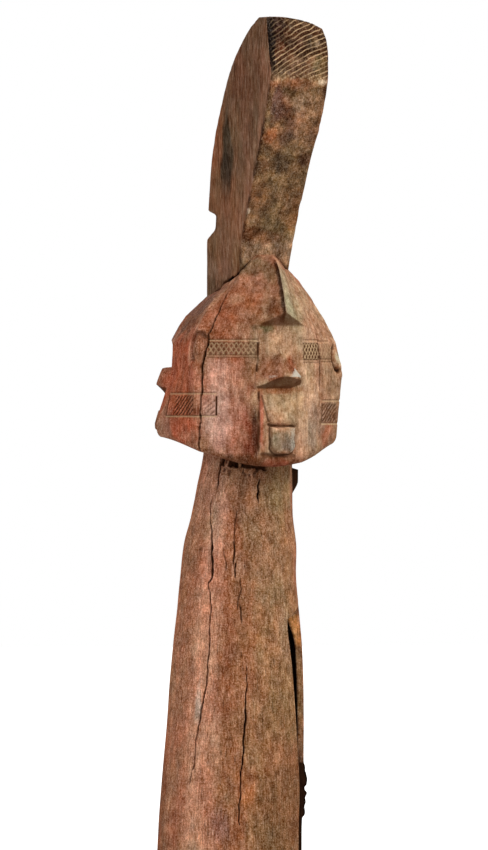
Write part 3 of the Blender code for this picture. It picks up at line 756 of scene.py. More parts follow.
for line, deep in HEAD_SPLITS:
    inside = split(head_azimuth, head_now, head_z, line)
    head_now -= deep * inside
    head_dark = np.maximum(head_dark, inside**0.5 * min(1.0, deep / 0.0035))

# Bands of fine knife work: first and last azimuth, lower and upper height and how plain the pale lines along
# them are. The eye bands are filled with a lattice, which the sixth number makes plainer or fainter. The jaw
# bands run round the corners.
EYE_BANDS = (
    (-52.5, -17.8, 1.0135, 1.0290, 0.9, 0.85), (17.0, 36.2, 1.0070, 1.0285, 0.25, 1.6),
    (37.2, 50.5, 1.0080, 1.0270, 0.25, 0.6), (74.0, 102.2, 1.0070, 1.0285, 0.6, 1.0),
    (137.8, 172.0, 1.0135, 1.0290, 1.0, 1.0), (-172.5, -137.8, 1.0135, 1.0290, 1.0, 1.0),
)
JAW_BANDS = (
    (-93.0, -46.4, 0.9350, 0.9600, 1.0), (38.0, 87.0, 0.9255, 0.9505, 1.0),
    (158.0, 207.0, 0.9290, 0.9540, 1.0),
)
# Slanting strokes fill stretches of the jaw bands, some plainer than others.
STROKED = (
    (-83.0, -62.0, 0.9350, 0.9600, 1.0), (-54.0, -47.4, 0.9350, 0.9560, 0.45),
    (39.0, 56.0, 0.9265, 0.9495, 0.9), (68.0, 82.0, 0.9265, 0.9495, 0.9),
    (162.0, 178.0, 0.9300, 0.9530, 0.9), (186.0, 202.0, 0.9300, 0.9530, 0.9),
)
head_pale = np.zeros_like(head_base)


def in_band(azimuth, height, band, soft=0.0008):
    """1 inside a band and 0 outside, with a soft edge."""
    first, last, low, high = band[:4]
    from_middle = np.abs(turned(azimuth, (first + last) / 2)) - (last - first) / 2
    inside = ease(soft, 0.0, np.radians(from_middle) * HEAD_REACH)
    return inside * ease(low - soft, low, height) * ease(high + soft, high, height)


for band in EYE_BANDS + JAW_BANDS:
    is_jaw = band in JAW_BANDS
    first, last, low, high, plain = band[:5]
    for line, pale in ((high + 0.0028, 0.8), (low - 0.0018, 0.5 + 0.5 * is_jaw), (low - 0.0048, 0.0)):
        if is_jaw and pale == 0.0:
            continue
        edge = in_band(head_azimuth, head_z, (first, last, line - 0.0005, line + 0.0005))
        head_now -= 0.0006 * edge
        head_pale = np.maximum(head_pale, pale * plain * edge)
        shadow = in_band(head_azimuth, head_z, (first, last, line + 0.0012, line + 0.0018))
        head_now -= 0.0005 * shadow
        head_dark = np.maximum(head_dark, 0.45 * shadow)
    if is_jaw:
        for end, top in ((first, high), (last, high - 0.001)):
            edge = in_band(head_azimuth, head_z, (end - 0.45, end + 0.45, low, top))
            head_now -= 0.0012 * edge
            head_dark = np.maximum(head_dark, 0.8 * edge)

# The brow's underside is painted dark, as the shade under it.
for face in FACES:
    tip, end = BROW[face][:2]
    local = np.abs(turned(head_azimuth, face) - (face == 0.0) * keel_shift(head_azimuth, head_z))
    line = tip + (end - tip) * np.clip(local / STRIP_HALF_ANGLE, 0.0, 1.0)
    shade = ease(end - 0.0040, end + 0.0005, head_z) * ease(line + 0.0010, line - 0.0010, head_z)
    shade = 0.60 * shade * ease(STRIP_HALF_ANGLE + 1.2, STRIP_HALF_ANGLE - 0.5, local)
    head_dark = np.maximum(head_dark, shade)

# The rim is worn round. The joint with the blade is cut in deep, and dark with dirt but for its front.
over_rim = np.clip(1 - (head_z - rim) / RIM_ROUND_TALL, 0.0, 1.0)
head_now -= RIM_ROUND * (1 - np.sqrt(1 - over_rim**2))
head_points = around_axis(head_azimuth, head_now, head_z, HEAD_X)
worn = within(rows_up, 0.0, 0.25, 2.9, 3.0)
head_now += worn * 0.0010 * lumps(head_points, (0.022, 0.022, 0.030), 11)
head_now += worn * 0.0005 * lumps(head_points, (0.0045, 0.0045, 0.020), 12)
# Level strokes of the adze show as low waves on the forehead's left.
waves = within(head_azimuth, -52.0, -44.0, -14.0, -8.0) * ease(1.042, 1.056, head_z)
head_now += worn * waves * 0.0011 * lumps(head_points, (0.026, 0.026, 0.0048), 15)
joint = ease(2.960, 3.0, rows_up)
head_now -= 0.0036 * joint * (1 - 0.6 * ease(30.0, 12.0, np.abs(COLUMNS)))
head_dark = np.maximum(head_dark, 0.95 * joint * ease(16.0, 40.0, np.abs(COLUMNS)))
head_points = around_axis(head_azimuth, head_now, head_z, HEAD_X)

# Underside: from the neck out to the rim.
neck_z = shaft_z[-1]
neck_full = np.interp(COLUMNS, COLUMNS[shaft_columns], neck_z)
neck_reach = np.interp(COLUMNS, COLUMNS[shaft_columns], shaft_reach[-1])
neck_points = around_axis(COLUMNS, neck_reach, neck_full, shaft_drift(neck_full))
out_share = np.linspace(0.0, 1.0, UNDERSIDE_ROWS + 1)[1:-1, None, None]
under_points = neck_points[None] + (head_points[0][None] - neck_points[None]) * out_share
under_points[..., 2] += 0.004 * np.sin(np.pi * out_share[..., 0]) + 0.0012 * lumps(under_points, 0.012, 13)
under_pits = ease(0.0, 0.5, lumps(under_points, 0.007, 14))
under_points[..., 2] += 0.003 * under_pits * np.sin(np.pi * out_share[..., 0])

# Blade: rows from the crease to the top, then rings that close the top.
rise = np.concatenate([
    LINES_FROM * np.linspace(0.0, 1.0, BLADE_ROWS)[1:], np.linspace(LINES_FROM, 1.0, LINED_ROWS)[1:]
])[:, None]
blade_z = crease[None, :] + (POST_HEIGHT - crease[None, :]) * rise
blade_x, blade_y = blade_outline(COLUMNS[None, :], blade_z)
for _ in range(ARRIS_ROUND):
    blade_x = (np.roll(blade_x, 1, 1) + blade_x + np.roll(blade_x, -1, 1)) / 3
    blade_y = (np.roll(blade_y, 1, 1) + blade_y + np.roll(blade_y, -1, 1)) / 3
# The chip: whatever stands beyond a slanting cut across the back left corner is drawn in to it.
left, back = HEAD_X - blade_half(blade_z), blade_back(blade_z)
beyond = (blade_x - left) / CHIP_SIDE + (back - blade_y) / CHIP_BACK
chip = within(blade_z, *CHIP)
inside = np.minimum(beyond - chip, 0.0)
blade_x = blade_x - inside * CHIP_SIDE * 0.5
blade_y = blade_y + inside * CHIP_BACK * 0.5
droop = np.clip((blade_x - HEAD_X) / (2 * blade_half(blade_z)) + 0.5, 0.0, 1.0) ** 3
top_zone = np.clip(1 - (POST_HEIGHT - blade_z) / BLADE_TOP_ZONE, 0.0, 1.0)
blade_points = np.stack([blade_x, blade_y, blade_z - BLADE_TOP_DROOP * droop * top_zone], axis=-1)
middle = np.stack([
    np.full(blade_z.shape, HEAD_X), (blade_front(blade_z) + blade_back(blade_z)) / 2, blade_z
], axis=-1)
away = blade_points - middle
away[..., 2] = 0.0
away /= np.maximum(np.linalg.norm(away, axis=-1, keepdims=True), 1e-6)
on_front = ease(FRONT_CORNER, FRONT_CORNER - 1.2, np.abs(COLUMNS))[None, :]
bumps = 0.0010 * lumps(blade_points, (0.030, 0.030, 0.070), 21)
bumps += 0.0004 * (1 - on_front) * lumps(blade_points, (0.004, 0.004, 0.030), 22)
# The front edge was left rough from the adze.
bumps += 0.0007 * on_front * lumps(blade_points, (0.011, 0.011, 0.009), 23)
bumps += 0.0004 * on_front * lumps(blade_points, (0.0035, 0.0035, 0.0035), 24)
corner_wear = np.exp(-((np.abs(COLUMNS) - FRONT_CORNER) / 1.2) ** 2)[None, :]
bumps -= 0.0014 * corner_wear * ease(0.2, 0.8, lumps(blade_points, (0.02, 0.02, 0.010), 25))
blade_points += away * (bumps * ease(0.0, 0.04, rise))[..., None]
crevice = 0.0055 + 0.0050 * lumps(blade_points, (0.009, 0.009, 0.03), 26)
blade_dark = 1.10 * ease(crevice + 0.003, crevice - 0.003, rise) * ease(14.0, 36.0, np.abs(COLUMNS))[None, :]
blade_dark = np.maximum(blade_dark, 0.5 * chip * ease(0.4, 0.0, beyond - chip))
top_ring = blade_points[-1]
shrink = np.linspace(1.0, 0.0, CAP_RINGS + 1)[1:-1, None]
spine_x = HEAD_X + (top_ring[:, 0] - HEAD_X) * 0.72
spine_y = np.full(len(COLUMNS), (blade_front(POST_HEIGHT) + blade_back(POST_HEIGHT)) / 2)
spine = np.stack([spine_x, spine_y, top_ring[:, 2]], axis=-1)
cap_points = spine[None] + (top_ring[None] - spine[None]) * shrink[..., None]
cap_points[..., 2] += 0.0010 * (1 - shrink)

# Hollow: the same rows and columns as the shaft, a wall's thickness in, with a floor and a domed top.
inner_rows = np.arange(int(round(HOLLOW[0] / SHAFT_ROW)), int(round(HOLLOW[1] / SHAFT_ROW)) + 1)
inner_z, inner_azimuth = shaft_z[inner_rows], shaft_azimuth[inner_rows]
wall = WALL - HOLLOW_SHIFT * np.cos(np.radians(inner_azimuth - HOLLOW_TOWARD))
narrow = 1 - DOME_NARROWS * np.clip(1 - (HOLLOW[1] - inner_z) / DOME, 0.0, 1.0) ** 2
inner_reach = (shaft_radius(inner_z) - wall) * narrow
inner_points = around_axis(inner_azimuth, inner_reach, inner_z, shaft_drift(inner_z))
inner_points[..., :2] += 0.0007 * lumps(inner_points, (0.012, 0.012, 0.05), 31)[..., None]

# ---------------------------------------------------------------------------------------------------------
# Skin: shaft, head and blade are cut from one log, so all their rings are joined into one closed surface. The
# slot is open through the wall, and its lips run in to the hollow.
# ---------------------------------------------------------------------------------------------------------
SHAFT_PART, HEAD_PART, BLADE_PART, HOLLOW_PART, LIP_PART = range(5)
skin_points, skin_faces, skin_count = [], [], 0
marks = {"part": [], "dark": [], "pale": [], "kaolin": []}


def lay(block, part, **given):
    """Adds a block of points and their marks to the skin and returns their numbers."""
    global skin_count
    skin_points.append(block.reshape(-1, 3))
    for mark, values in marks.items():
        value = part if mark == "part" else given.get(mark, 0.0)
        values.append(np.broadcast_to(value, block.shape[:-1]).ravel())
    numbers = skin_count + np.arange(block.reshape(-1, 3).shape[0]).reshape(block.shape[:-1])
    skin_count += numbers.size
    return numbers


def weave(numbers, outward=True, gap=None):
    """Quads between the rows of a block whose columns close on themselves, but for a gap of cells."""
    beside = np.roll(numbers, -1, axis=1)
    quads = np.stack([numbers[:-1], beside[:-1], beside[1:], numbers[1:]], axis=-1)
    if not outward:
        quads = quads[..., ::-1]
    there = np.ones(quads.shape[:2], bool)
    if gap:
        there[gap[0]:gap[1], gap[2]:gap[3]] = False
    skin_faces.extend(quads[there].tolist())


def close(ring, middle_point, part, outward=True):
    """A fan from a ring to one point."""
    tip = int(lay(np.array([[middle_point]]), part)[0, 0])
    beside = np.roll(ring, -1)
    fan = np.stack([ring, beside, np.full(len(ring), tip)], axis=-1)
    skin_faces.extend((fan if outward else fan[:, ::-1]).tolist())


shaft_points = around_axis(shaft_azimuth, shaft_reach, shaft_z, shaft_drift(shaft_z))
shaft_ids = lay(shaft_points, SHAFT_PART, dark=shaft_dark)
gap = (slot_rows[0], slot_rows[1], near_column, far_column)
weave(shaft_ids, gap=gap)
close(shaft_ids[0], (0.0, 0.0, 0.0), SHAFT_PART, outward=False)

# The head's underside is painted dark, as the shade under it, and darker still in its pits.
under_ids = lay(under_points, HEAD_PART, dark=0.35 + 0.6 * under_pits)
head_ids = lay(head_points, HEAD_PART, dark=head_dark, pale=head_pale, kaolin=head_kaolin)
blade_ids = lay(blade_points, BLADE_PART, dark=blade_dark)
cap_ids = lay(cap_points, BLADE_PART)
upper_ids = np.concatenate([under_ids, head_ids, blade_ids, cap_ids])
weave(upper_ids)
close(cap_ids[-1], tuple(cap_points[-1].mean(axis=0)), BLADE_PART)
# The shaft's last ring has fewer points than the head's first, so each of its cells takes several of them.
wrap = np.append(shaft_columns, len(COLUMNS))
for i, (first, last) in enumerate(zip(wrap, wrap[1:])):
    above = [int(under_ids[0, c % len(COLUMNS)]) for c in range(first, last + 1)]
    skin_faces.append([int(shaft_ids[-1, i]), int(shaft_ids[-1, (i + 1) % len(shaft_columns)]), *above[::-1]])

inner_ids = lay(inner_points, HOLLOW_PART)
first_inner = inner_rows[0]
inner_gap = (slot_rows[0] - first_inner, slot_rows[1] - first_inner, near_column, far_column)
weave(inner_ids, outward=False, gap=inner_gap)
floor_middle = (float(shaft_drift(HOLLOW[0])), 0.0, HOLLOW[0])
close(inner_ids[0], floor_middle, HOLLOW_PART)
dome_top = (*inner_points[-1, :, :2].mean(axis=0), HOLLOW[1] + 0.004)
close(inner_ids[-1], dome_top, HOLLOW_PART, outward=False)

# The slot's lips run round the gap, from the outer surface in to the hollow.
rows_through = list(range(slot_rows[0], slot_rows[1]))
columns_across = list(range(near_column, far_column))
edge = [(row, near_column) for row in rows_through]
edge += [(slot_rows[1], column) for column in columns_across]
edge += [(row, far_column) for row in range(slot_rows[1], slot_rows[0], -1)]
edge += [(slot_rows[0], column) for column in range(far_column, near_column, -1)]
edge_rows, edge_columns = np.array(edge).T
outer_edge, inner_edge = shaft_ids[edge_rows, edge_columns], inner_ids[edge_rows - first_inner, edge_columns]
outer_at = shaft_points[edge_rows, edge_columns]
inner_at = inner_points[edge_rows - first_inner, edge_columns]
depth = np.linspace(0.0, 1.0, LIP_LAYERS + 1)[1:-1, None, None]
lip_points = outer_at[None] + (inner_at - outer_at)[None] * depth
lip_points += 0.0012 * np.stack([lumps(lip_points, 0.006, seed) for seed in (41, 42, 43)], axis=-1)
is_near_lip = np.array([column == near_column for column in edge_columns])
# The lips are painted black below 0.484 m, all but the near one.
lip_ids = lay(lip_points, LIP_PART, dark=0.9 * (lip_points[..., 2] < 0.484) * ~is_near_lip)
layers = np.concatenate([outer_edge[None], lip_ids, inner_edge[None]])
weave(layers, outward=False)

points = np.concatenate(skin_points)
marks = {mark: np.concatenate(values) for mark, values in marks.items()}
part = marks.pop("part")

# ---------------------------------------------------------------------------------------------------------
# Knife cuts: a lattice and slanting strokes in the head's bands, and wavy lines on the blade's front, scored
# with a knife. Marks on the skin say where each kind is, and place it in metres along and across its band.
# ---------------------------------------------------------------------------------------------------------
# Heights between which the blade's front carries its wavy lines.
BLADE_LINES = (1.3690, 1.4470)
# The lines, or the diamonds of the lattice, are a pitch apart along and across, on a wandering course.
KNIFE_CUTS = (
    {"Where": "lattice_here", "Mark": "pale_cut", "Pitch Along": 0.0072, "Pitch Across": 0.0094,
     "Crossed": 1.0, "Width": 0.0023, "Depth": 0.0009, "Wander": 0.45, "Seed": 11.0},
    {"Where": "strokes_here", "Mark": "dark_cut", "Pitch Along": 0.0078, "Pitch Across": 0.0068,
     "Crossed": 0.0, "Width": 0.0026, "Depth": 0.0010, "Wander": 0.6, "Seed": 23.0},
    {"Where": "lines_here", "Mark": "pale_cut", "Pitch Along": 0.0124, "Pitch Across": 0.0062,
     "Crossed": 0.0, "Width": 0.0017, "Depth": 0.0011, "Wander": 1.0, "Seed": 31.0},
)
MOST_TRIANGLES = 192000
# Faces that meet at more than this, in degrees, show a sharp edge.
SHARP = 42.0


def azimuth_of(places, part):
    """Degrees round the head's axis, or round the shaft's."""
    about_x = np.where(part == HEAD_PART, HEAD_X, shaft_drift(places[:, 2]))
    return np.degrees(np.arctan2(places[:, 0] - about_x, -places[:, 1]))


def on_blade_front(places, part, behind, short):
    """Whether points lie on the blade's front face, up to a little behind it and short of its arrises."""
    near_front = places[:, 1] < blade_front(places[:, 2]) + behind
    between = np.abs(places[:, 0] - HEAD_X) < blade_half(places[:, 2]) - short
    return (part == BLADE_PART) & near_front & between


def note(mesh, name, values):
    """Keeps a number for each point of a mesh, under a name that its material can read."""
    mesh.attributes.new(name, "FLOAT", "POINT").data.foreach_set("value", values.astype(np.float32))


azimuth, height, sideways = azimuth_of(points, part), points[:, 2], points[:, 0] - HEAD_X
on_head = part == HEAD_PART
marks["cut_along"] = np.where(on_head, np.radians(azimuth) * HEAD_REACH, sideways - 4.5 * sideways**2)
marks["cut_across"] = height
marks["lattice_here"] = on_head * np.max(
    [in_band(azimuth, height, band) * band[5] for band in EYE_BANDS], axis=0)
marks["strokes_here"] = on_head * np.max([
    strength * in_band(azimuth, height, (first, last, low + 0.0006, high - 0.0006), 0.0015)
    for first, last, low, high, strength in STROKED
], axis=0)
ragged = BLADE_LINES[0] + 0.0025 * lumps(points, 0.007, 51)
faint = 0.40 + 0.62 * ease(-0.6, 0.4, lumps(points, (0.016, 0.020, 0.006), 52))
faint *= 1 - 0.75 * ease(1.395, 1.425, height) * ease(0.004, -0.020, sideways)
faint *= ease(-0.0400, -0.0320, sideways)
lined = on_blade_front(points, part, 0.0035, 0.0006) * faint * ease(ragged - 0.001, ragged + 0.001, height)
marks["lines_here"] = lined * (height < BLADE_LINES[1])
marks["pale_cut"] = np.zeros(len(points))
marks["dark_cut"] = np.zeros(len(points))
marks["part"] = part

skin = bpy.data.meshes.new("reliquary_post_skin")
skin.from_pydata(points, [], skin_faces)
for mark, values in marks.items():
    note(skin, mark, values)
skin.update()
post = bpy.data.objects.new("reliquary_post_skin", skin)
bpy.context.scene.collection.objects.link(post)
wood = bpy.data.materials.new("weathered_wood")

cuts = bpy.data.node_groups.new("knife_cuts", "GeometryNodeTree")
cut_inputs = {}
for name, kind in (
    ("Geometry", "Geometry"), ("Where", "String"), ("Mark", "String"), ("Pitch Along", "Float"),
    ("Pitch Across", "Float"), ("Crossed", "Float"), ("Width", "Float"), ("Depth", "Float"),
    ("Wander", "Float"), ("Seed", "Float"), ("Wood", "Material"),
):
    socket = cuts.interface.new_socket(name, in_out="INPUT", socket_type="NodeSocket" + kind)
    cut_inputs[name] = socket.identifier
cuts.interface.new_socket("Geometry", in_out="OUTPUT", socket_type="NodeSocketGeometry")
given = add_node(cuts, "NodeGroupInput").outputs


def sum_in(tree, operation, *values):
    """A Math node in a tree, fed with sockets or plain numbers."""
    return add_node(tree, "ShaderNodeMath", dict(enumerate(values)), operation=operation).outputs[0]


def attribute_in_cuts(name):
    """A float attribute whose name is a socket or a plain text."""
    return add_node(cuts, "GeometryNodeInputNamedAttribute", {"Name": name}).outputs["Attribute"]


def noise_in_cuts(scale, shift):
    """Noise over the wood in metres, moved along by the seed."""
    noise = add_node(cuts, "ShaderNodeTexNoise", {
        "Scale": scale, "Vector": add_node(cuts, "GeometryNodeInputPosition").outputs[0],
        "W": sum_in(cuts, "ADD", given["Seed"], shift),
    }, noise_dimensions="4D")
    return sum_in(cuts, "SUBTRACT", noise.outputs[0], 0.5)


along = sum_in(cuts, "DIVIDE", attribute_in_cuts("cut_along"), given["Pitch Along"])
across = sum_in(cuts, "DIVIDE", attribute_in_cuts("cut_across"), given["Pitch Across"])
slope = sum_in(cuts, "SQRT", sum_in(cuts, "ADD", *(
    sum_in(cuts, "POWER", sum_in(cuts, "DIVIDE", 1.0, given[pitch]), 2.0)
    for pitch in ("Pitch Along", "Pitch Across")
)))
from_cut = []
for operation, shift in (("SUBTRACT", 0.0), ("ADD", 7.0)):
    phase = sum_in(cuts, operation, along, across)
    phase = sum_in(cuts, "ADD", phase, sum_in(cuts, "MULTIPLY", noise_in_cuts(55.0, shift), given["Wander"]))
    from_cut.append(sum_in(cuts, "DIVIDE", sum_in(cuts, "PINGPONG", phase, 0.5), slope))
uncrossed = sum_in(cuts, "SUBTRACT", 1.0, given["Crossed"])
nearest = sum_in(cuts, "MINIMUM", from_cut[0], sum_in(cuts, "ADD", from_cut[1], uncrossed))
share = sum_in(cuts, "DIVIDE", nearest, sum_in(cuts, "MULTIPLY", given["Width"], 0.5))
shape = sum_in(cuts, "MAXIMUM", sum_in(cuts, "SUBTRACT", 1.0, sum_in(cuts, "POWER", share, 2.0)), 0.0)
firmness = sum_in(cuts, "MULTIPLY_ADD", noise_in_cuts(130.0, 3.0), 1.4, 0.85)
shape = sum_in(cuts, "MULTIPLY", shape, sum_in(cuts, "MULTIPLY", attribute_in_cuts(given["Where"]), firmness))
inward = add_node(cuts, "ShaderNodeVectorMath", {
    0: add_node(cuts, "GeometryNodeInputNormal").outputs[0],
    "Scale": sum_in(cuts, "MULTIPLY", shape, sum_in(cuts, "MULTIPLY", given["Depth"], -1.0)),
}, operation="SCALE")
pressed = add_node(cuts, "GeometryNodeSetPosition", {
    "Geometry": given["Geometry"], "Offset": inward.outputs[0],
})
noted = add_node(cuts, "GeometryNodeStoreNamedAttribute", {
    "Geometry": pressed.outputs[0], "Name": given["Mark"],
    "Value": sum_in(cuts, "MAXIMUM", shape, attribute_in_cuts(given["Mark"])),
}, data_type="FLOAT", domain="POINT")
whole = add_node(cuts, "GeometryNodeRealizeInstances", {0: noted.outputs[0]})
stained = add_node(cuts, "GeometryNodeSetMaterial", {"Geometry": whole.outputs[0], "Material": given["Wood"]})
add_node(cuts, "NodeGroupOutput", {0: stained.outputs[0]})

for settings in KNIFE_CUTS:
    knife = post.modifiers.new(settings["Where"], "NODES")
    knife.node_group = cuts
    for name, value in {**settings, "Wood": wood}.items():
        knife[cut_inputs[name]] = value

# The skin is thinned to what its shape needs, and all that is cut fine is spared, with the front keel.
FINE_MARKS = ("dark", "pale", "kaolin", "lattice_here", "strokes_here", "lines_here")
fine = np.max([marks[name] for name in FINE_MARKS], axis=0)
fine = np.maximum(fine, on_head & (azimuth > -5.5) & (azimuth < 7.0) & (height > 1.055))
spared = post.vertex_groups.new(name="fine")
for weight, finer_than in ((0.5, 0.05), (1.0, 0.3)):
    spared.add(np.flatnonzero(fine > finer_than).tolist(), weight, "REPLACE")
thin = post.modifiers.new("thin", "DECIMATE")
thin.ratio = MOST_TRIANGLES / sum(len(face) - 2 for face in skin_faces)
thin.vertex_group = "fine"
thin.invert_vertex_group = True
thin.vertex_group_factor = 1.0
seen_now = bpy.context.evaluated_depsgraph_get()
carved = bpy.data.meshes.new_from_object(
    post.evaluated_get(seen_now), preserve_all_data_layers=True, depsgraph=seen_now
)
post.modifiers.clear()
post.vertex_groups.clear()
post.data = carved
carved.polygons.foreach_set("use_smooth", np.ones(len(carved.polygons), bool))
carved.set_sharp_from_angle(angle=math.radians(SHARP))

# ---------------------------------------------------------------------------------------------------------
# Colour: the wood is stained reddish on its left and bleached to tan on its right, darker on the blade.
# Each patch is soft, with a ragged edge. Azimuths and distances along the blade place it.
# ---------------------------------------------------------------------------------------------------------
place = np.empty(len(carved.vertices) * 3, np.float32)
carved.vertices.foreach_get("co", place)
place = place.reshape(-1, 3).astype(float)
part = np.empty(len(place), np.float32)
carved.attributes["part"].data.foreach_get("value", part)
part = np.round(part)
carved.attributes.remove(carved.attributes["part"])
azimuth, height, sideways = azimuth_of(place, part), place[:, 2], place[:, 0] - HEAD_X
front_here = on_blade_front(place, part, 0.004, 0.0004)
AREAS = {
    "shaft": (part == SHAFT_PART, azimuth),
    "lip": (part == LIP_PART, azimuth),
    "hollow": (part == HOLLOW_PART, azimuth),
    "head": (part == HEAD_PART, azimuth),
    "side": ((part == BLADE_PART) & ~front_here, place[:, 1]),
    "front": (front_here, sideways),
}
# The hollow's inside is painted dark.
BASE = {
    "shaft": (0.350, 0.153, 0.082), "lip": (0.200, 0.095, 0.050), "hollow": (0.060, 0.030, 0.018),
    "head": (0.330, 0.145, 0.080), "side": (0.178, 0.087, 0.047), "front": (0.200, 0.108, 0.052),
}
# How plain the grain is outside the head: most on the weathered shaft and the blade's side.
GRAIN = {"shaft": 1.65, "lip": 1.3, "hollow": 1.0, "side": 1.75, "front": 1.30}
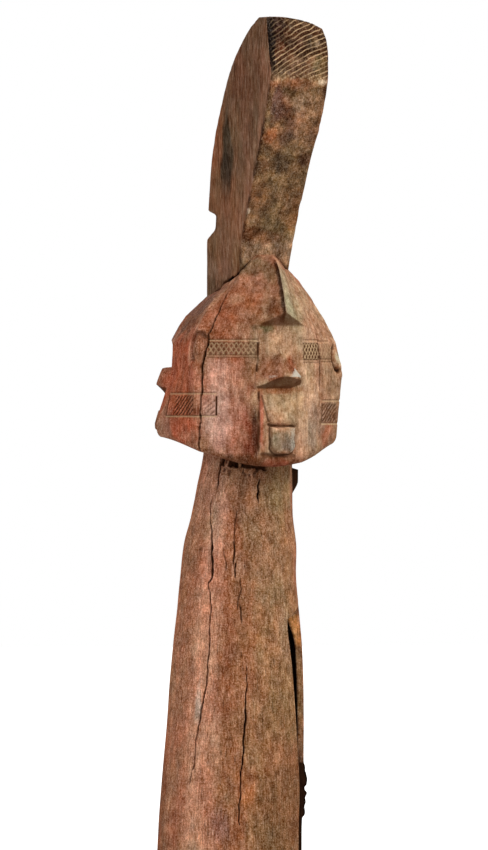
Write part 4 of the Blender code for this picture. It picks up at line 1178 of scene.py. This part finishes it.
# In each area: azimuth (or metres towards +Y on the blade's side and towards +X on its front), height, their
# half-sizes, colour and strength.
PATCHES = (
    ("head", (
        (30, 0.96, 62, 0.14, (0.4, 0.24, 0.138), 1), (25, 0.96, 13, 0.11, (0.51, 0.31, 0.19), 0.9),
        (50, 1, 22, 0.08, (0.335, 0.182, 0.102), 0.8), (45, 0.905, 10, 0.022, (0.3, 0.105, 0.055), 0.8),
        (27, 0.92, 7, 0.045, (0.27, 0.18, 0.125), 0.7), (45, 0.938, 16, 0.014, (0.21, 0.13, 0.08), 0.8),
        (4, 0.955, 12, 0.03, (0.41, 0.262, 0.142), 0.8), (-40, 0.96, 17, 0.075, (0.41, 0.175, 0.108), 1),
        (-46, 0.985, 7, 0.03, (0.6, 0.3, 0.212), 0.9), (-45, 0.932, 11, 0.04, (0.6, 0.325, 0.245), 0.85),
        (-39, 1.02, 24, 0.016, (0.285, 0.108, 0.056), 0.8), (-23, 0.985, 9, 0.024, (0.365, 0.15, 0.08), 0.8),
        (-22.5, 0.905, 6, 0.04, (0.21, 0.056, 0.028), 0.95),
        (-29, 0.906, 6, 0.012, (0.27, 0.105, 0.058), 0.7),
        (-19.3, 0.908, 3, 0.034, (0.065, 0.019, 0.009), 0.9),
        (-84, 0.985, 24, 0.065, (0.405, 0.105, 0.049), 1), (-73, 0.918, 14, 0.02, (0.43, 0.115, 0.056), 1),
        # The patch at -96 is painted shade on the roof's left facet.
        (-93, 0.915, 9, 0.03, (0.34, 0.165, 0.105), 0.8), (-96, 1.072, 36, 0.042, (0.165, 0.053, 0.021), 1),
        (-73, 1.078, 10, 0.016, (0.15, 0.052, 0.024), 0.8), (-35, 1.075, 24, 0.03, (0.255, 0.088, 0.04), 1),
        # The pale patch at -35.5 is a painted highlight on the forehead.
        (-35.5, 1.087, 9, 0.007, (0.5, 0.25, 0.15), 0.65), (-26, 1.066, 8, 0.008, (0.43, 0.2, 0.118), 0.7),
        (-47, 1.04, 13, 0.018, (0.22, 0.083, 0.039), 0.85),
        (-6, 1.074, 6, 0.013, (0.105, 0.033, 0.012), 0.85),
        (-20, 1.128, 20, 0.012, (0.205, 0.115, 0.06), 0.9), (-5, 1.12, 6, 0.016, (0.18, 0.1, 0.05), 0.9),
        (12, 1.085, 12, 0.035, (0.33, 0.215, 0.122), 0.9), (7, 1.112, 7, 0.018, (0.3, 0.205, 0.12), 0.9),
        # The dark patches at 1.05 and 1.049 are painted shade under the brow.
        (-11, 1.05, 5, 0.007, (0.11, 0.08, 0.035), 0.9),
        (-19.5, 1.049, 4.5, 0.005, (0.085, 0.045, 0.018), 0.5),
        # The pale patch at -66.5 is a painted highlight on the left ear's ridge.
        (-66.5, 1.019, 5, 0.016, (0.52, 0.255, 0.155), 0.85),
        (-60.5, 0.981, 6, 0.014, (0.52, 0.195, 0.12), 0.6),
        (-66, 0.908, 14, 0.006, (0.52, 0.215, 0.125), 0.8), (-10, 0.984, 8, 0.006, (0.22, 0.08, 0.04), 0.7),
        # Both patches here are painted shade: under the nose, and to the right of its tip.
        (13, 0.981, 4, 0.012, (0.22, 0.13, 0.07), 0.8), (-3, 0.9675, 22, 0.005, (0.29, 0.095, 0.034), 0.85),
        (-8.5, 0.998, 9.5, 0.021, (0.215, 0.08, 0.04), 0.9),
        (5.5, 0.999, 6.5, 0.013, (0.225, 0.07, 0.03), 0.95),
        (-1, 0.902, 10, 0.016, (0.235, 0.175, 0.11), 0.9), (3, 0.896, 5, 0.008, (0.15, 0.12, 0.09), 0.7),
        (26, 0.985, 5.5, 0.018, (0.35, 0.215, 0.12), 0.8), (58, 0.918, 8, 0.03, (0.235, 0.11, 0.058), 0.7),
        (58.5, 1.008, 3.2, 0.008, (0.42, 0.35, 0.235), 0.9),
        (52.5, 1.014, 2, 0.01, (0.17, 0.062, 0.026), 0.9),
        (55.5, 0.994, 2.6, 0.005, (0.17, 0.062, 0.026), 0.9),
        (-15.5, 0.93, 1.8, 0.035, (0.4, 0.125, 0.07), 0.9),
        # The dark patch at 0.874 is painted shade along the chin's rim.
        (-20, 0.874, 44, 0.011, (0.15, 0.058, 0.026), 0.95),
        (-5, 0.872, 10, 0.006, (0.28, 0.08, 0.042), 0.8), (-2, 0.88, 7, 0.008, (0.17, 0.07, 0.034), 0.6),
        (35, 0.885, 20, 0.01, (0.27, 0.15, 0.08), 0.7), (150, 0.98, 50, 0.11, (0.26, 0.115, 0.065), 0.8),
    )),
    ("shaft", (
        (-70, 0.6, 26, 0.5, (0.43, 0.183, 0.1), 0.8), (15, 0.65, 38, 0.5, (0.318, 0.16, 0.074), 0.9),
        # The pale band at -54.5 is partly wear and partly a painted sheen on a lit facet.
        (-24, 0.59, 17, 0.42, (0.325, 0.13, 0.06), 0.8), (-54.5, 0.56, 13, 0.46, (0.59, 0.285, 0.172), 0.95),
        (-110, 0.6, 14, 0.45, (0.37, 0.138, 0.062), 0.9), (-106, 0.41, 14, 0.085, (0.225, 0.07, 0.03), 0.8),
        (-6, 0.8, 22, 0.046, (0.255, 0.128, 0.064), 0.75), (-2, 0.392, 8, 0.02, (0.56, 0.255, 0.125), 0.8),
        (-44, 0.43, 9, 0.09, (0.47, 0.212, 0.118), 0.8), (-24, 0.74, 8, 0.018, (0.43, 0.205, 0.12), 0.8),
        (-72, 0.405, 9, 0.04, (0.33, 0.13, 0.066), 0.6), (-69, 0.761, 6, 0.003, (0.15, 0.062, 0.03), 0.85),
        (-84, 0.747, 10, 0.009, (0.21, 0.088, 0.045), 0.8),
        (-88, 0.705, 8, 0.014, (0.33, 0.125, 0.048), 0.8), (25, 0.42, 30, 0.1, (0.225, 0.098, 0.042), 0.9),
        (-25, 0.868, 34, 0.05, (0.385, 0.19, 0.105), 1), (-70, 0.86, 24, 0.06, (0.48, 0.222, 0.138), 0.9),
        # The pale patch at -51 is painted light on the lit side of the neck's arris.
        (25, 0.855, 24, 0.045, (0.31, 0.185, 0.088), 0.9), (-51, 0.8, 9, 0.06, (0.54, 0.29, 0.19), 0.85),
        (-58.5, 0.562, 3.4, 0.026, (0.54, 0.39, 0.3), 0.85),
        (-33, 0.404, 10, 0.02, (0.19, 0.095, 0.07), 0.8), (-12, 0.44, 7, 0.016, (0.38, 0.14, 0.05), 0.9),
        (-10, 0.522, 4, 0.012, (0.34, 0.14, 0.06), 0.8), (-45, 0.384, 10, 0.02, (0.56, 0.255, 0.15), 0.8),
        (-30, 0.64, 6, 0.03, (0.24, 0.085, 0.04), 0.7), (-20, 0.72, 8, 0.06, (0.215, 0.1, 0.058), 0.2),
        (20, 0.56, 16, 0.05, (0.27, 0.14, 0.062), 0.6), (5, 0.4, 10, 0.02, (0.16, 0.075, 0.035), 0.3),
        (62, 0.652, 14, 0.016, (0.48, 0.175, 0.055), 0.95),
    )),
    ("lip", (
        (60, 0.654, 30, 0.02, (0.7, 0.28, 0.095), 1), (60, 0.57, 30, 0.07, (0.35, 0.18, 0.082), 0.9),
        (60, 0.428, 30, 0.008, (0.42, 0.15, 0.05), 0.8),
    )),
    ("side", (
        (0.012, 1.3, 0.024, 0.13, (0.3, 0.108, 0.046), 0.75),
        (-0.02, 1.19, 0.12, 0.07, (0.228, 0.108, 0.053), 0.9),
        (0.01, 1.125, 0.05, 0.014, (0.3, 0.15, 0.092), 0.7),
        (-0.046, 1.15, 0.02, 0.07, (0.29, 0.125, 0.06), 0.8),
        (-0.077, 1.199, 0.004, 0.0035, (0.52, 0.43, 0.31), 0.8),
        (-0.021, 1.272, 0.018, 0.046, (0.06, 0.037, 0.02), 0.92),
        (-0.012, 1.25, 0.016, 0.023, (0.056, 0.036, 0.022), 0.9),
        (-0.014, 1.276, 0.012, 0.014, (0.04, 0.024, 0.014), 0.8),
    )),
    ("front", (
        (0, 1.415, 0.08, 0.045, (0.046, 0.018, 0.0075), 1),
        (-0.03, 1.436, 0.015, 0.018, (0.022, 0.01, 0.006), 0.9),
        (-0.04, 1.412, 0.008, 0.03, (0.022, 0.009, 0.006), 0.9),
        (-0.038, 1.412, 0.01, 0.042, (0.012, 0.006, 0.004), 0.97),
        (0.033, 1.366, 0.009, 0.004, (0.52, 0.39, 0.27), 0.7),
        (0.0385, 1.353, 0.004, 0.009, (0.06, 0.026, 0.012), 0.8),
        (0, 1.412, 0.012, 0.01, (0.06, 0.028, 0.018), 0.5),
        (0.014, 1.442, 0.028, 0.008, (0.08, 0.044, 0.022), 0.6),
        (0.002, 1.386, 0.028, 0.014, (0.15, 0.073, 0.038), 0.8),
        (0.03, 1.388, 0.012, 0.014, (0.12, 0.072, 0.026), 0.7),
        (-0.01, 1.363, 0.035, 0.008, (0.26, 0.108, 0.052), 0.7),
        (-0.026, 1.335, 0.01, 0.022, (0.13, 0.06, 0.048), 0.8),
        (-0.029, 1.297, 0.011, 0.012, (0.3, 0.108, 0.042), 0.8),
        (0.006, 1.307, 0.012, 0.014, (0.15, 0.09, 0.062), 0.7),
        (0.018, 1.33, 0.018, 0.03, (0.29, 0.16, 0.082), 0.8),
        (0.029, 1.266, 0.011, 0.012, (0.07, 0.024, 0.011), 0.85),
        (-0.004, 1.262, 0.014, 0.018, (0.085, 0.044, 0.025), 0.8),
        (-0.006, 1.326, 0.009, 0.014, (0.13, 0.055, 0.025), 0.7),
        (0.022, 1.29, 0.014, 0.018, (0.27, 0.15, 0.078), 0.7),
        (-0.022, 1.169, 0.02, 0.01, (0.13, 0.048, 0.019), 0.85),
        (-0.036, 1.199, 0.004, 0.0035, (0.52, 0.43, 0.31), 0.8),
        (0, 1.23, 0.05, 0.02, (0.165, 0.082, 0.036), 0.5),
        (0.03, 1.19, 0.008, 0.022, (0.27, 0.12, 0.045), 0.7),
        (0, 1.146, 0.06, 0.018, (0.31, 0.17, 0.098), 0.85),
    )),
    # Smaller spots over those.
    ("head", (
        (-14, 1.056, 5, 0.006, (0.15, 0.045, 0.016), 0.7), (-38, 1.026, 17, 0.006, (0.2, 0.066, 0.03), 0.4),
        (-30, 0.912, 5, 0.01, (0.33, 0.15, 0.09), 0.6), (13, 1.01, 3.5, 0.008, (0.25, 0.12, 0.055), 0.6),
        # The dark spots at 0.969 are painted shade under the nose.
        (25, 1.055, 10, 0.008, (0.26, 0.12, 0.06), 0.6), (3, 0.969, 6, 0.005, (0.15, 0.055, 0.02), 0.7),
        (-22.5, 0.969, 3.5, 0.008, (0.2, 0.062, 0.034), 0.7),
        (37, 0.922, 5, 0.018, (0.33, 0.215, 0.14), 0.7),
        (-134, 0.985, 24, 0.075, (0.365, 0.125, 0.066), 0.75),
    )),
    ("shaft", (
        (-27, 0.815, 8, 0.022, (0.215, 0.1, 0.058), 0.6), (-40, 0.53, 5, 0.035, (0.56, 0.3, 0.19), 0.6),
        (-19, 0.562, 7, 0.022, (0.42, 0.19, 0.1), 0.6), (26, 0.655, 9, 0.05, (0.36, 0.215, 0.125), 0.6),
        (20, 0.468, 6, 0.014, (0.37, 0.19, 0.1), 0.6), (-17, 0.4, 7, 0.022, (0.27, 0.085, 0.036), 0.6),
        (-9, 0.467, 5, 0.014, (0.27, 0.105, 0.045), 0.6), (-67.5, 0.605, 4, 0.03, (0.33, 0.145, 0.082), 0.6),
        (8, 0.738, 20, 0.055, (0.29, 0.172, 0.092), 0.6), (-42, 0.69, 6, 0.05, (0.44, 0.225, 0.135), 0.5),
    )),
    ("side", (
        (-0.05, 1.3, 0.018, 0.036, (0.25, 0.122, 0.064), 0.6),
        (-0.075, 1.285, 0.014, 0.028, (0.25, 0.126, 0.074), 0.6),
        (-0.015, 1.165, 0.03, 0.03, (0.27, 0.14, 0.082), 0.5),
    )),
    ("front", (
        (-0.022, 1.406, 0.012, 0.014, (0.1, 0.034, 0.015), 0.7),
        (0.024, 1.418, 0.01, 0.01, (0.11, 0.066, 0.036), 0.6),
        (-0.016, 1.335, 0.009, 0.016, (0.115, 0.046, 0.026), 0.7),
        (0.006, 1.336, 0.01, 0.016, (0.29, 0.175, 0.105), 0.6),
        (-0.006, 1.293, 0.008, 0.01, (0.12, 0.066, 0.044), 0.5),
        (-0.028, 1.256, 0.01, 0.012, (0.12, 0.048, 0.022), 0.6),
        (0, 1.22, 0.012, 0.01, (0.21, 0.12, 0.064), 0.5), (0, 1.166, 0.022, 0.008, (0.13, 0.05, 0.022), 0.7),
    )),
)
# A pale ridge runs from the left ear up to the blade, painted as a highlight.
EAR_RIDGE = ((1.030, -66.0), (1.055, -64.0), (1.074, -61.0), (1.089, -57.0), (1.105, -50.0))


def paint(colours, chosen, colour, share):
    """Lays a colour over part of the tint."""
    colours[chosen] += (np.array(colour) - colours[chosen]) * share[:, None]


tint = np.empty((len(place), 3))
for area, (chosen, _) in AREAS.items():
    tint[chosen] = BASE[area]
patches = [(area, *row) for area, rows in PATCHES for row in rows]
for number, (area, at, up, half_at, half_up, colour, strength) in enumerate(patches):
    chosen, across = AREAS[area]
    from_at = across[chosen] - at
    if area not in ("side", "front"):
        from_at = turned(across[chosen], at)
    far = np.hypot(from_at / half_at, (height[chosen] - up) / half_up)
    far += 0.30 * lumps(place[chosen], (0.012, 0.012, 0.020), 60 + number)
    far += 0.18 * lumps(place[chosen], (0.004, 0.004, 0.009), 120 + number)
    paint(tint, chosen, colour, strength * ease(1.25, 0.60, far))
# On the head the grain is plainer to the left, and a little fainter on the roof and round the front's mouth.
grain = 1.00 + 0.20 * ease(-8.0, -30.0, azimuth) + 0.25 * ease(-52.0, -64.0, azimuth)
grain *= 1 - 0.15 * ease(1.04, 1.06, height)
grain *= 1 - 0.20 * ease(20.0, 15.0, np.abs(azimuth)) * ease(1.010, 0.990, height)
for area, strength in GRAIN.items():
    grain[AREAS[area][0]] = strength
note(carved, "grain", grain)
note(carved, "rough", np.where(front_here, 1.0, np.where(part == BLADE_PART, 0.0, 0.25)))
chosen = AREAS["head"][0]
turn, up = azimuth[chosen], height[chosen]
off_ridge = (turn - smooth_line(EAR_RIDGE)(up)) / 2.0
share = np.exp(-off_ridge**2) * ease(1.028, 1.045, up)
paint(tint, chosen, (0.400, 0.215, 0.120), 0.65 * share)
# The left of the front keel is painted dark, partly old dirt and partly shade, and the facet to its right
# pale, partly bleach and partly painted light.
beside_keel = turn - keel_shift(turn, up)
up_keel = within(up, 1.052, 1.062, 1.128, 1.142)
left_of_keel = ease(0.7, 0.0, beside_keel) * up_keel
keel_dirt_and_shade = np.exp(np.minimum(beside_keel, 0.0) / 6.0) * left_of_keel
paint(tint, chosen, (0.120, 0.048, 0.020), (0.62 - 0.25 * ease(1.085, 1.110, up)) * keel_dirt_and_shade)
edge_now = beside_keel + 0.9 * lumps(place[chosen], (0.006, 0.006, 0.007), 91)
paint(tint, chosen, (0.028, 0.011, 0.005), 0.93 * ease(-2.9, -1.5, edge_now) * left_of_keel)
keel_bleach_and_light = within(beside_keel, 0.0, 0.9, 3.0, 14.0) * up_keel
paint(tint, chosen, (0.360, 0.310, 0.195), 0.60 * keel_bleach_and_light)
# The blade's side is worn paler beside the arris, and the arris has a dark edge below the knife lines.
chosen = AREAS["side"][0]
up = height[chosen]
from_front = place[chosen, 1] - blade_front(up) + 0.008 * lumps(place[chosen], (0.02, 0.02, 0.05), 92)
share = 0.85 * ease(0.034, 0.012, from_front) * ease(1.130, 1.200, up) * ease(1.425, 1.395, up)
paint(tint, chosen, (0.300, 0.150, 0.088), share)
chosen = part == BLADE_PART
up = height[chosen]
to_arris = np.hypot(sideways[chosen] + blade_half(up), place[chosen, 1] - blade_front(up))
share = ease(0.0042, 0.0016, to_arris) * ease(1.375, 1.350, up)
paint(tint, chosen, (0.055, 0.022, 0.010), 0.85 * share * ease(-0.8, 0.3, lumps(place[chosen], 0.012, 90)))
layer = carved.color_attributes.new("tint", "FLOAT_COLOR", "POINT")
layer.data.foreach_set("color", np.column_stack([tint, np.ones(len(tint))]).astype(np.float32).ravel())

wood.use_nodes = True
graph = wood.node_tree
shader = graph.nodes["Principled BSDF"]
where = add_node(graph, "ShaderNodeTexCoord").outputs["Object"]
product, scaled, smaller, larger = (
    functools.partial(sum_in, graph, operation)
    for operation in ("MULTIPLY", "MULTIPLY_ADD", "MINIMUM", "MAXIMUM")
)
BAND_GROUND = (0.085, 0.031, 0.014)
FRESH_CUT = (0.570, 0.385, 0.215)
DIRT_AND_SHADE_BROWN = (0.078, 0.027, 0.010)
NEAR_BLACK = (0.008, 0.004, 0.003)
WHITE_CLAY = (0.560, 0.530, 0.440)
DARKEST = (0.05, 0.03, 0.02)
DISPLAY_GAMMA = 2.2


def wood_noise(scale, stretch, detail, roughness=0.6):
    """Noise drawn out along the grain, around 0."""
    along_grain = add_node(graph, "ShaderNodeMapping", {"Vector": where, "Scale": (1.0, 1.0, stretch)})
    noise = add_node(graph, "ShaderNodeTexNoise", {
        "Vector": along_grain.outputs[0], "Scale": scale, "Detail": detail, "Roughness": roughness,
    })
    return sum_in(graph, "SUBTRACT", noise.outputs[0], 0.5)


def mark_of(name, output="Fac"):
    """A mark or a colour that the mesh carries."""
    return add_node(graph, "ShaderNodeAttribute", attribute_name=name).outputs[output]


def vector_of(operation, feeds):
    """A Vector Math node, which also works on colours."""
    return add_node(graph, "ShaderNodeVectorMath", feeds, operation=operation).outputs[0]


def power_of(colour, exponent):
    """A colour raised to a power."""
    return add_node(graph, "ShaderNodeGamma", {"Color": colour, "Gamma": exponent}).outputs[0]


def blend(share, under, over, mode="MIX"):
    """A colour laid over another. Each is a socket or three numbers."""
    feeds = {0: share, 6: under, 7: over}
    for place_of, value in feeds.items():
        if isinstance(value, tuple):
            feeds[place_of] = (*value, 1.0)
    return add_node(graph, "ShaderNodeMix", feeds, data_type="RGBA", blend_type=mode).outputs[2]


fibre = wood_noise(480.0, 0.11, 4.0)
fine_fibre = wood_noise(1100.0, 0.07, 3.0)
mottle = wood_noise(75.0, 0.65, 6.0, 0.64)
speck = wood_noise(620.0, 0.75, 3.0, 0.75)
hue = wood_noise(26.0, 0.5, 4.0)
crinkle = wood_noise(300.0, 2.0, 3.0, 0.65)
blotch = wood_noise(165.0, 0.9, 2.0)
hair = wood_noise(620.0, 0.022, 2.0)
rough = mark_of("rough")
grain_here = mark_of("grain")
uneven = smaller(product(rough, 4.0), 1.0)
fleck = product(fibre, scaled(uneven, -0.45, 1.9))
fleck = scaled(fine_fibre, 1.25, fleck)
fleck = scaled(crinkle, scaled(uneven, 1.05, 0.2), fleck)
fleck = scaled(speck, scaled(uneven, 1.8, 0.8), fleck)
fleck = product(fleck, product(grain_here, 0.190))
# The plainer the grain, the fainter the blotches.
blotched = scaled(grain_here, -0.18, 0.54)
blotched = product(blotched, scaled(uneven, 0.4, 0.6))
fleck = scaled(blotch, blotched, fleck)
tone = product(mottle, scaled(rough, 3.2, 1.2))
# Fine drying cracks show where the grain is plain.
opened = scaled(hair, grain_here, -0.24)
opened = larger(opened, 0.0)
tone = scaled(opened, -7.0, tone)
tone = sum_in(graph, "EXPONENT", tone)
toned = vector_of("SCALE", {0: mark_of("tint", "Color"), "Scale": tone})
redder = scaled(hue, 3.0, 0.5)
redder = smaller(larger(redder, 0.0), 1.0)
varied = blend(redder, (0.92, 1.05, 1.03), (1.10, 0.95, 0.93))
colour = blend(1.0, toned, varied, "MULTIPLY")
# The flecks are added as the eye sees brightness, so that they show as well on dark wood as on pale.
flecked = vector_of("ADD", {0: power_of(colour, 1 / DISPLAY_GAMMA), 1: fleck})
colour = power_of(vector_of("MAXIMUM", {0: flecked, 1: DARKEST}), DISPLAY_GAMMA)
ground = product(mark_of("lattice_here"), 0.62)
ground = larger(ground, product(mark_of("strokes_here"), 0.08))
colour = blend(ground, colour, BAND_GROUND)
pale_here = larger(mark_of("pale"), mark_of("pale_cut"))
pale_here = product(pale_here, scaled(speck, 1.6, scaled(rough, 0.50, 0.60)))
colour = blend(pale_here, colour, FRESH_CUT)
# Dark marks are browned, then blackened: dirt and cracks, and painted shade under the brow, nose, head and
# rim.
dark = larger(mark_of("dark"), product(mark_of("dark_cut"), 1.05))
browned = smaller(product(dark, 1.30), 1.0)
colour = blend(browned, colour, DIRT_AND_SHADE_BROWN)
blackened = larger(scaled(dark, 3.3, -2.3), 0.0)
colour = blend(blackened, colour, NEAR_BLACK)
chalk = scaled(mark_of("kaolin"), 1.6, scaled(speck, 2.0, -0.45))
chalk = smaller(larger(chalk, 0.0), mark_of("kaolin"))
colour = blend(chalk, colour, WHITE_CLAY)
graph.links.new(colour, shader.inputs["Base Color"])
graph.links.new(scaled(mottle, 0.35, 0.70), shader.inputs["Roughness"])
shader.inputs["Specular IOR Level"].default_value = 0.02
relief = scaled(mottle, 0.9, scaled(fine_fibre, 0.3, fibre))
relief = scaled(speck, 0.7, scaled(crinkle, 0.6, relief))
relief = product(relief, grain_here)
relief = scaled(opened, -4.0, relief)
bump = add_node(graph, "ShaderNodeBump", {"Strength": 0.55, "Distance": 0.0022, "Height": relief})
graph.links.new(bump.outputs[0], shader.inputs["Normal"])

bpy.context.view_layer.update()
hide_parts("reliquary_post")
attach(post, "root")
